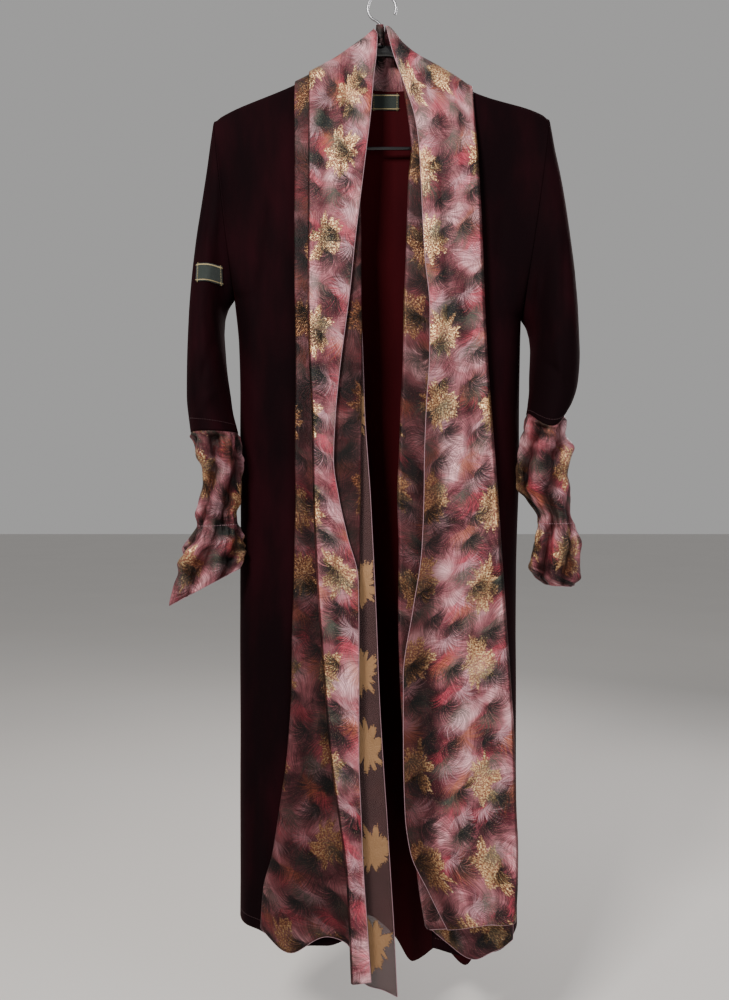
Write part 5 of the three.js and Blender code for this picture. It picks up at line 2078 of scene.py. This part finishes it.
@dataclass
class NeckStole:
    """The stretch of the stole behind the neck, and the small fold before the hook's stem."""

    chiffon: Material
    thread: Material
    sewing: Sewing
    rows: int = 44
    columns: int = 110

    def behind(self) -> Cloth:
        """The stretch that sags from shoulder to shoulder down the back.

        Returns:
            The cloth, its ends on the shoulders.
        """
        v = np.linspace(0, 1, self.rows)[:, None]
        u = (1 + np.cos(np.pi * np.linspace(0, 1, self.columns)))[None, :] / 2
        left = mix(BACK_UPPER["left"], BACK_LOWER["left"], v)
        right = mix(BACK_UPPER["right"], BACK_LOWER["right"], v)
        bow = 4 * u * (1 - u)
        x = mix(left, right, u)
        drop = bow * mix(BACK_UPPER["sag"], BACK_LOWER["sag"], v)
        z = mix(shoulder_height(left), shoulder_height(right), u) - drop
        wave = BACK_RIPPLE * bow * np.cos(2.5 * np.pi * v)
        wave = wave + 0.8 * bow * wobble(x / 50, z / 40, 4.0)
        ends = (u < 1e-6) | (u > 1 - 1e-6)
        height = np.where(ends, shoulder_height(x), np.minimum(z, shoulder_height(x)))
        return Cloth(drape(Face.BACK, x, height, BACK_LIFT + wave), CHIFFON_WALL)

    def before_hook(self) -> Cloth:
        """The small fold that stands before the hook's stem, pinched at its top.

        Returns:
            The little cloth.
        """
        v = np.linspace(0, 1, 16)[:, None]
        u = np.linspace(0, 1, 25)[None, :]
        pinch = 0.7 + 0.3 * v
        x = mix(HOOK_FOLD["left"], HOOK_FOLD["right"], 0.5 + (u - 0.5) * pinch)
        y = -4 - 7 * np.sin(np.pi * u) * pinch - 0.5 * np.sin(3 * np.pi * u + 2 * v)
        z = mix(HOOK_FOLD["top"], HOOK_FOLD["foot"], v) - 1.5 * np.sin(np.pi * u) * (1 - v)
        fold = Cloth(np.stack(np.broadcast_arrays(x, y, z), axis=-1), CHIFFON_WALL)
        # painted shade: the whole little fold is painted darker
        fold.painted_shade = 0.3 + 0 * x * v
        return fold

    def build(self) -> None:
        """Builds both pieces and their rolled edges."""
        parts = (
            ("stole_back", self.behind(), ["back_velvet"], {"upper": 0, "lower": -1}),
            ("stole_fold", self.before_hook(), ["stole_left_chiffon"], {"upper": 0}),
        )
        for node, cloth, held, rows in parts:
            name = node + "_chiffon"
            piece = linked(name, cloth.mesh(name), self.chiffon)
            for key, row in rows.items():
                edge = self.sewing.edge(f"{name}_{key}_edge", cloth.line(row, 0.0), self.thread)
            declare(node)


@dataclass
class Label:
    """A bare woven label that lies on a cloth and is stitched down all round."""

    node: str
    left: float
    right: float
    top: float
    bottom: float
    under: Cloth
    under_name: str
    groups: Groups
    thread: Material
    sewing: Sewing
    columns: int = 16
    rows: int = 12

    def build(self) -> None:
        """Builds the label on the points below it, and its stitches."""
        x = np.linspace(self.left, self.right, self.columns)[None, :]
        z = np.linspace(self.top, self.bottom, self.rows)[:, None]
        x, z = np.broadcast_arrays(x, z)
        below = self.under.points.reshape(-1, 3)
        facing = self.under.normals.reshape(-1, 3)[:, 1]
        if self.under.ring:
            below = below[facing < -0.05]
        away = (x.ravel()[:, None] - below[None, :, 0]) ** 2 + (z.ravel()[:, None] - below[None, :, 2]) ** 2
        near = np.argsort(away, axis=1)[:, :6]
        weight = 1 / (np.take_along_axis(away, near, axis=1) + 0.5)
        y = (below[near, 1] * weight).sum(axis=1) / weight.sum(axis=1)
        points = np.stack([x, y.reshape(x.shape), z], axis=-1)
        lift = VELVET_WALL / 2 + 1.5 * SEAM_GAP + LABEL_WALL / 2
        cloth = Cloth(points, LABEL_WALL, lift=lift)
        height = abs(self.top - self.bottom) * MM
        finish = Woven(self.node + "_woven", height).material(self.groups)
        name = self.node + "_bare"
        piece = linked(name, cloth.mesh(name), finish)
        raised = LABEL_WALL / 2
        rows = [cloth.line(1, raised), cloth.line(-2, raised)]
        rows += [cloth.column(1, raised), cloth.column(-2, raised)]
        for k, line in enumerate(rows):
            stitches = self.sewing.row(f"{name}_stitches_{k}", line, self.thread)
        declare(self.node)


def smooth_path(points: np.ndarray, steps: int) -> np.ndarray:
    """Points on a smooth curve through others.

    Args:
        points: Points that it passes.
        steps: New points between two of them.

    Returns:
        The points of the curve.
    """
    before = np.concatenate([2 * points[:1] - points[1:2], points[:-2]])
    after = np.concatenate([points[2:], 2 * points[-1:] - points[-2:-1]])
    t = np.linspace(0, 1, steps, endpoint=False)[None, :, None]
    a, b = points[:-1, None], points[1:, None]
    one, two = (b - before[:, None]) / 2, (after[:, None] - a) / 2
    curve = (2 * t**3 - 3 * t**2 + 1) * a + (t**3 - 2 * t**2 + t) * one
    curve = curve + (3 * t**2 - 2 * t**3) * b + (t**3 - t**2) * two
    return np.concatenate([curve.reshape(-1, 3), points[-1:]])


@dataclass
class Hanger:
    """The plain hanger: arms with an arch at the neck, trouser bar and hook."""

    plastic: Material
    steel: Material
    sewing: Sewing
    tip_left: float = -224.0
    tip_right: float = 223.0
    arm_height: float = 16.0
    arm_half: float = 5.0
    stations: int = 150
    sides: int = 24
    bar_radius: float = 2.5
    bar_height: float = -202.0
    bar_left: float = -206.0
    bar_right: float = 205.0
    bar_bend: float = 14.0
    slope: float = 0.45
    wire: float = 1.75
    inner: float = 18.0

    def top(self, x: np.ndarray) -> np.ndarray:
        """Height of the arms' upper side.

        Args:
            x: Places along the arms, in millimetres.

        Returns:
            Heights at these places.
        """
        arch = follow(HANGER_ARCH, "x", x, "z")
        inside = (x > NECK_LEFT) & (x < NECK_RIGHT)
        return np.where(inside, arch, shoulder_height(x) - ARM_SINK)

    def arms(self) -> Mesh:
        """One rounded section swept from tip to tip, closed at both ends.

        Returns:
            The mesh of both arms.
        """
        x = np.linspace(self.tip_left, self.tip_right, self.stations)
        turns = 2 * np.pi * np.arange(self.sides) / self.sides
        wide = np.sign(np.cos(turns)) * np.abs(np.cos(turns)) ** 0.7
        tall = np.sign(np.sin(turns)) * np.abs(np.sin(turns)) ** 0.7
        fade = 1 - 0.35 * (1 - ease(0, 6, x - self.tip_left)) - 0.35 * (1 - ease(0, 6, self.tip_right - x))
        middle = self.top(x) - self.arm_height / 2
        y = self.arm_half * fade[:, None] * wide
        z = middle[:, None] + self.arm_height / 2 * fade[:, None] * tall
        points = np.stack(np.broadcast_arrays(x[:, None], y, z), axis=-1)
        faces = []
        for i in range(self.stations - 1):
            for j in range(self.sides):
                a, b = i * self.sides + j, i * self.sides + (j + 1) % self.sides
                faces.append((a, a + self.sides, b + self.sides, b))
        last = (self.stations - 1) * self.sides
        faces.append(tuple(range(self.sides)))
        faces.append(tuple(last + j for j in reversed(range(self.sides))))
        mesh = bpy.data.meshes.new("hanger_arms_smooth")
        mesh.from_pydata(placed(points).tolist(), [], faces)
        mesh.shade_smooth()
        return mesh

    def bar_line(self) -> np.ndarray:
        """Line of the trouser bar with its two bends.

        Returns:
            Points in metres.
        """
        ends = self.top(np.array([self.bar_left, self.bar_right]))
        under = ends - self.arm_height - SEAM_GAP - self.bar_radius * self.slope
        turns = np.linspace(0, np.pi / 2, 10)
        bend = self.bar_bend
        level = self.bar_height + bend
        left = [(self.bar_left + bend * (1 - math.cos(t)), 0, level - bend * math.sin(t)) for t in turns]
        right = [(self.bar_right - bend * (1 - math.cos(t)), 0, level - bend * math.sin(t)) for t in turns]
        line = [(self.bar_left, 0, under[0]), *left, *reversed(right), (self.bar_right, 0, under[1])]
        return placed(np.array(line, float))

    def hook_line(self) -> np.ndarray:
        """Line of the hook: stem, then the loop over the seat.

        Returns:
            Points in metres.
        """
        radius = self.inner + self.wire
        foot = HANGER_ARCH[3].z - GARMENT_DROP + SEAM_GAP
        line = [(0, 0, foot), (0, 0, -self.inner - radius - 8)]
        for degrees in np.linspace(250, -25, 13):
            angle = math.radians(degrees)
            line.append((radius * math.cos(angle), 0, -self.inner + radius * math.sin(angle)))
        return smooth_path(np.array(line, float), 8) * MM

    def build(self) -> None:
        """Builds arms, bar and hook."""
        arms = linked("hanger_arms_smooth", self.arms(), self.plastic)
        bar = self.sewing.rod("hanger_bar_smooth", self.bar_line(), self.bar_radius * MM, self.plastic)
        hook = self.sewing.rod("hanger_hook_smooth", self.hook_line(), self.wire * MM, self.steel)
        parts = (
            (arms, "hanger_arms", "hanger_plastic"),
            (bar, "hanger_bar", "hanger_plastic"),
            (hook, "hanger_hook", "hook_steel"),
        )
        for piece, node, slot in parts:
            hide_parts(node)


@dataclass
class Studio:
    """Camera at the photograph's place, soft lights, and a plain pale floor."""

    camera_at: tuple[float, float, float] = (-0.0245, -1.35, -0.706)
    focal_share: float = 0.9643
    sensor: float = 36.0
    floor_z: float = -1.46
    floor_size: float = 40.0

    def light(self, name: str, at: tuple, aim: tuple, size: float, watts: float, colour: tuple) -> None:
        """Adds a soft lamp.

        Args:
            name: Name of the lamp.
            at: Where it stands.
            aim: Where it points.
            size: Side of its square.
            watts: Its power.
            colour: Its colour.
        """
        data = bpy.data.lights.new(name, "AREA")
        data.size = size
        data.energy = watts
        data.color = colour
        lamp = bpy.data.objects.new(name, data)
        lamp.location = at
        lamp.rotation_euler = (Vector(aim) - Vector(at)).to_track_quat("-Z", "Y").to_euler()
        bpy.context.scene.collection.objects.link(lamp)

    def camera(self) -> None:
        """Adds the camera, level and straight on."""
        data = bpy.data.cameras.new("camera")
        data.sensor_fit = "VERTICAL"
        data.sensor_height = self.sensor
        data.sensor_width = self.sensor
        data.lens = self.focal_share * self.sensor
        data.clip_start = 0.05
        camera = bpy.data.objects.new("camera", data)
        camera.location = self.camera_at
        camera.rotation_euler = (math.pi / 2, 0, 0)
        bpy.context.scene.collection.objects.link(camera)
        bpy.context.scene.camera = camera

    def floor(self) -> None:
        """Adds the floor."""
        half = self.floor_size / 2
        corners = [(-half, -half), (half, -half), (half, half), (-half, half)]
        mesh = bpy.data.meshes.new("floor")
        mesh.from_pydata([(x, y, self.floor_z) for x, y in corners], [], [(0, 1, 2, 3)])
        floor = bpy.data.objects.new("floor", mesh)
        bpy.context.scene.collection.objects.link(floor)
        mesh.materials.append(Pale().material())

    def build(self) -> None:
        """Builds camera, lights, floor and the pale surround."""
        self.camera()
        self.floor()
        middle = (0.0, 0.0, -0.6)
        self.light("key", (-1.0, -1.9, 0.9), (0.0, 0.0, -0.5), 0.6, 90.0, (1.0, 0.95, 0.9))
        self.light("fill", (1.7, -1.6, -0.4), middle, 1.2, 18.0, (0.96, 0.97, 1.0))
        self.light("rim", (1.0, 1.4, 0.4), middle, 1.0, 30.0, (1.0, 0.95, 0.93))
        world = bpy.data.worlds.new("surround")
        bpy.context.scene.world = world
        world.use_nodes = True
        surround = world.node_tree.nodes["Background"]
        surround.inputs["Color"].default_value = tint(226, 225, 224)
        surround.inputs["Strength"].default_value = 0.5


def dress() -> None:
    """Builds every sub-assembly of the abaya in turn."""
    groups = Groups()
    sewing = Sewing()
    velvet = Velvet().material(groups)
    chiffon = Chiffon("printed_chiffon_plain").material(groups)
    veil = Chiffon("printed_chiffon_veil", see_through=True).material(groups)
    thread = Thread("wine_thread", tint(20, 4, 8), tint(60, 12, 22)).material()
    rolled = Thread("rolled_edge", tint(104, 74, 82), tint(176, 142, 150)).material()
    gilt = Thread("label_thread", tint(120, 104, 66), tint(190, 172, 124)).material()
    body = VelvetBody(velvet, Reverse().material(groups), thread, sewing)
    body.build()
    sleeves = {}
    for name, gather in (("left", 7.0), ("right", 7.5)):
        sleeves[name] = Sleeve(name, velvet, thread, sewing)
        sleeves[name].build()
        Cuff(name, chiffon, rolled, sewing, gather).build()
    Stole(
        name="left",
        table=LEFT_ROWS,
        path=("sheer", "deep", "mid", "fold", "edge"),
        lifts=(4, 9, 15, 22),
        counts=(38, 30, 26, 26),
        middle=-60,
        hem_start=-1110,
        hems=LEFT_HEMS,
        creases=LEFT_CREASES,
        chiffon=veil,
        thread=rolled,
        sewing=sewing,
        # painted shade of each layer, back to front
        painted_layer_shades=(0.15, 0.18, 0.08, 1.0),
        under_hems={0: VEIL_SCALLOPS, 1: LEFT_SCALLOPS},
        print_start=LEFT_PRINT_START,
        sheer_from=(-52, -36),
    ).build()
    Stole(
        name="right",
        table=RIGHT_ROWS,
        path=("hidden", "inner", "outer", "edge"),
        lifts=(4, 12, 22),
        counts=(34, 38, 38),
        middle=65,
        hem_start=-1105,
        hems=RIGHT_HEMS,
        creases=RIGHT_CREASES,
        chiffon=chiffon,
        thread=rolled,
        sewing=sewing,
        # painted shade of each layer, back to front
        painted_layer_shades=(0.35, 0.2, 1.0),
        under_hems={0: RIGHT_SCALLOPS},
        print_start=RIGHT_PRINT_START,
        margin=(0.6, 0.86),
    ).build()
    NeckStole(chiffon, rolled, sewing).build()
    back = body.panels["back_velvet"]
    inside = Cloth(back.points[:, ::-1], VELVET_WALL)
    Label("label_neck", -14, 24, -122, -144, inside, "back_velvet", groups, gilt, sewing).build()
    sleeve = sleeves["left"].cloth
    Label(
        "label_sleeve", -251, -221, -374, -399, sleeve, "sleeve_left_velvet", groups, gilt, sewing
    ).build()
    Hanger(Plastic().material(), Steel().material(), sewing).build()


def main() -> None:
    """Loads the frame, dresses it and sets up the studio."""
    logging.basicConfig(level=logging.INFO, format="%(message)s")
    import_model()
    Studio().build()
    dress()
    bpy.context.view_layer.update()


if __name__ == "__main__":
    main()
